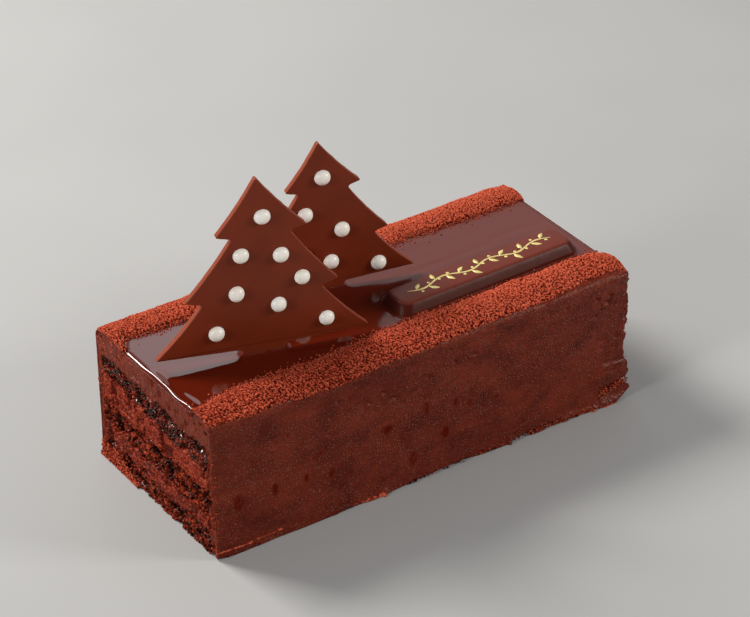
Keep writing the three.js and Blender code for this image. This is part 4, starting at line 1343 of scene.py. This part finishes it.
def build_crumbs():
    """Loose crumbs of sponge: on the cut faces, at the foot and along the torn edge."""
    rng = np.random.default_rng(23)
    centres, radii = [], []
    for end in (-1, 1):
        count = 720
        y = rng.uniform(-31, 32, count)
        z = rng.uniform(0.4, 40, count)
        in_cream = (z < border_height(BORDERS[1], y)) & (z > border_height(BORDERS[2], y))
        keep = ~in_cream | (rng.uniform(size=count) < 0.3)
        if end < 0:
            keep &= (in_spots(y, z, HOLLOWS, 2) < 0.3) & (ledges(y, z)[0] < 0.1)
        y, z = y[keep], z[keep]
        x = np.full(len(y), end * (HALF_LENGTH - 0.7)) - end * rng.uniform(0, 0.8, len(y))
        centres.append(np.stack([x, y, z], -1))
        radii.append(rng.uniform(0.25, 0.8, len(y)))
    for low, high, count in ((-29, -17, 40), (34, 46, 14), (52, 72, 90), (-80, 80, 90)):
        x = rng.uniform(low, high, count)
        y = -half_width(0) - rng.uniform(-0.5, 0.15, count)
        z = rng.uniform(0.15, 1.8, count) ** 1.2
        centres.append(np.stack([x, y, z], -1))
        radii.append(rng.uniform(0.2, 0.6, count))
    # Clinging to the upright edges of both ends, as (end, side, count).
    loose = sum(map(len, radii))
    for end, side, count in ((-1, -1, 44), (-1, 1, 34), (1, -1, 16), (1, 1, 24)):
        z = rng.uniform(1, 46, count)
        reach = 0
        if (end, side) == (1, -1):
            z = rng.normal(26, 5, count)
            reach = torn_reach(np.full(count, HALF_LENGTH), z)
        x = end * HALF_LENGTH + reach - end * rng.uniform(0.1, 0.8, count)
        y = side * (half_width(z) - rng.uniform(-0.1, 1.0, count))
        centres.append(np.stack([x, y, z], -1))
        radii.append(0.14 + (0.3 if side < 0 else 0.7) * rng.uniform(0, 1, count) ** 3)
    count = sum(map(len, radii))
    clinging = np.arange(count) >= loose
    tone = np.maximum(rng.uniform(0.2, 1, count), 0.8 * clinging)
    lump_cloud("loose_crumbs", np.concatenate(centres), np.concatenate(radii), 24,
               bpy.data.materials["soaked_chocolate_sponge"],
               # The hollow mark darkens the loose crumbs by random shares, and not those clinging
               # to the edges.
               {"hollow": np.where(clinging, 0, rng.uniform(0, 0.4, count)), "tone": tone,
                "wet": np.where(clinging, -0.6, rng.uniform(0, 0.6, count))})


# Stage

def build_camera():
    """The camera: its axes are right, up and backwards, turned by azimuth, elevation and
    then by a small roll."""
    azimuth, elevation, roll = map(
        math.radians, (CAMERA_AZIMUTH, CAMERA_ELEVATION, CAMERA_ROLL))
    backwards = Vector((math.sin(azimuth) * math.cos(elevation),
                        -math.cos(azimuth) * math.cos(elevation), math.sin(elevation)))
    right = Vector((0, 0, 1)).cross(backwards).normalized()
    up = backwards.cross(right)
    turn = Matrix((right * math.cos(roll) + up * math.sin(roll),
                   up * math.cos(roll) - right * math.sin(roll), backwards)).transposed()
    data = bpy.data.cameras.new("camera")
    data.sensor_width = SENSOR
    data.lens = FOCAL_PIXELS * SENSOR / IMAGE_WIDTH
    camera = bpy.data.objects.new("camera", data)
    camera.matrix_world = Matrix.Translation(Vector(CAMERA_AT) * MM) @ turn.to_4x4()
    bpy.context.scene.collection.objects.link(camera)
    bpy.context.scene.camera = camera


def build_stage():
    """A wide pale floor, soft boxes turned towards the cake, the strongest one behind and
    above it, pale light all round, and the camera."""
    scene = bpy.context.scene
    mesh = bpy.data.meshes.new("floor")
    corners = [(-1, -1), (1, -1), (1, 1), (-1, 1)]
    mesh.from_pydata([(FLOOR_HALF * x, FLOOR_HALF * y, 0) for x, y in corners], [], [(0, 1, 2, 3)])
    mesh.materials.append(studio_floor())
    floor = bpy.data.objects.new("floor", mesh)
    scene.collection.objects.link(floor)
    for name, place, width, height, watts, tint in SOFT_BOXES:
        data = bpy.data.lights.new(name, "AREA")
        data.shape = "RECTANGLE"
        data.size, data.size_y = width, height
        data.energy = watts
        data.color = tint
        light = bpy.data.objects.new(name, data)
        light.location = place
        towards_cake = Vector(LIGHTS_AIM) - Vector(place)
        light.rotation_euler = towards_cake.to_track_quat("-Z", "Y").to_euler()
        scene.collection.objects.link(light)
    scene.world = bpy.data.worlds.new("studio")
    scene.world.use_nodes = True
    background = scene.world.node_tree.nodes["Background"]
    background.inputs["Color"].default_value = ROOM_TINT
    background.inputs["Strength"].default_value = ROOM_STRENGTH
    scene.view_settings.view_transform = "Standard"
    build_camera()


# Operators

class CAKE_OT_coat(bpy.types.Operator):
    """Spreads the ganache over the top and the two long sides"""
    bl_idname = "cake.coat"
    bl_label = "Ganache coat"

    def execute(self, context):
        build_coat()
        return {"FINISHED"}


class CAKE_OT_layers(bpy.types.Operator):
    """Makes the layers of sponge and cream with their cut faces"""
    bl_idname = "cake.layers"
    bl_label = "Sponge and cream"

    def execute(self, context):
        build_layers()
        return {"FINISHED"}


class CAKE_OT_glaze(bpy.types.Operator):
    """Pours the glaze into the trough"""
    bl_idname = "cake.glaze"
    bl_label = "Glaze"

    def execute(self, context):
        build_glaze()
        return {"FINISHED"}


class CAKE_OT_cocoa(bpy.types.Operator):
    """Sifts cocoa over the two ridges"""
    bl_idname = "cake.cocoa"
    bl_label = "Cocoa"

    def execute(self, context):
        build_cocoa()
        return {"FINISHED"}


class CAKE_OT_firs(bpy.types.Operator):
    """Stands the chocolate firs in the glaze"""
    bl_idname = "cake.firs"
    bl_label = "Chocolate firs"

    def execute(self, context):
        build_firs()
        return {"FINISHED"}


class CAKE_OT_pearls(bpy.types.Operator):
    """Presses the sugar pearls onto the firs"""
    bl_idname = "cake.pearls"
    bl_label = "Sugar pearls"

    def execute(self, context):
        build_pearls()
        return {"FINISHED"}


class CAKE_OT_bar(bpy.types.Operator):
    """Lays the moulded bar with its gold garland on the glaze"""
    bl_idname = "cake.bar"
    bl_label = "Chocolate bar"

    def execute(self, context):
        build_bar()
        build_gold()
        return {"FINISHED"}


class CAKE_OT_crumbs(bpy.types.Operator):
    """Scatters the loose crumbs"""
    bl_idname = "cake.crumbs"
    bl_label = "Crumbs"

    def execute(self, context):
        build_crumbs()
        return {"FINISHED"}


class CAKE_OT_stage(bpy.types.Operator):
    """Sets up the floor, the lights and the camera"""
    bl_idname = "cake.stage"
    bl_label = "Stage"

    def execute(self, context):
        build_stage()
        return {"FINISHED"}


# In the order that they run in.
OPERATORS = (CAKE_OT_coat, CAKE_OT_layers, CAKE_OT_glaze, CAKE_OT_cocoa, CAKE_OT_firs,
             CAKE_OT_pearls, CAKE_OT_bar, CAKE_OT_crumbs, CAKE_OT_stage)


class CAKE_PT_panel(bpy.types.Panel):
    """The cake's pieces, sizes and colours"""
    bl_label = "Yule log cake"
    bl_space_type = "VIEW_3D"
    bl_region_type = "UI"
    bl_category = "Cake"

    def draw(self, context):
        for operator in OPERATORS:
            self.layout.operator(operator.bl_idname)
        for group in (context.scene.cake_sizes, context.scene.cake_colours):
            box = self.layout.box()
            for name in group.__annotations__:
                box.prop(group, name)


CLASSES = (CakeSizes, CakeColours, *OPERATORS, CAKE_PT_panel)


def register():
    for cls in CLASSES:
        bpy.utils.register_class(cls)
    bpy.types.Scene.cake_sizes = bpy.props.PointerProperty(type=CakeSizes)
    bpy.types.Scene.cake_colours = bpy.props.PointerProperty(type=CakeColours)


def unregister():
    del bpy.types.Scene.cake_colours
    del bpy.types.Scene.cake_sizes
    for cls in reversed(CLASSES):
        bpy.utils.unregister_class(cls)


def main():
    register()
    for operator in OPERATORS:
        group, name = operator.bl_idname.split(".")
        getattr(getattr(bpy.ops, group), name)()


if __name__ == "__main__":
    main()
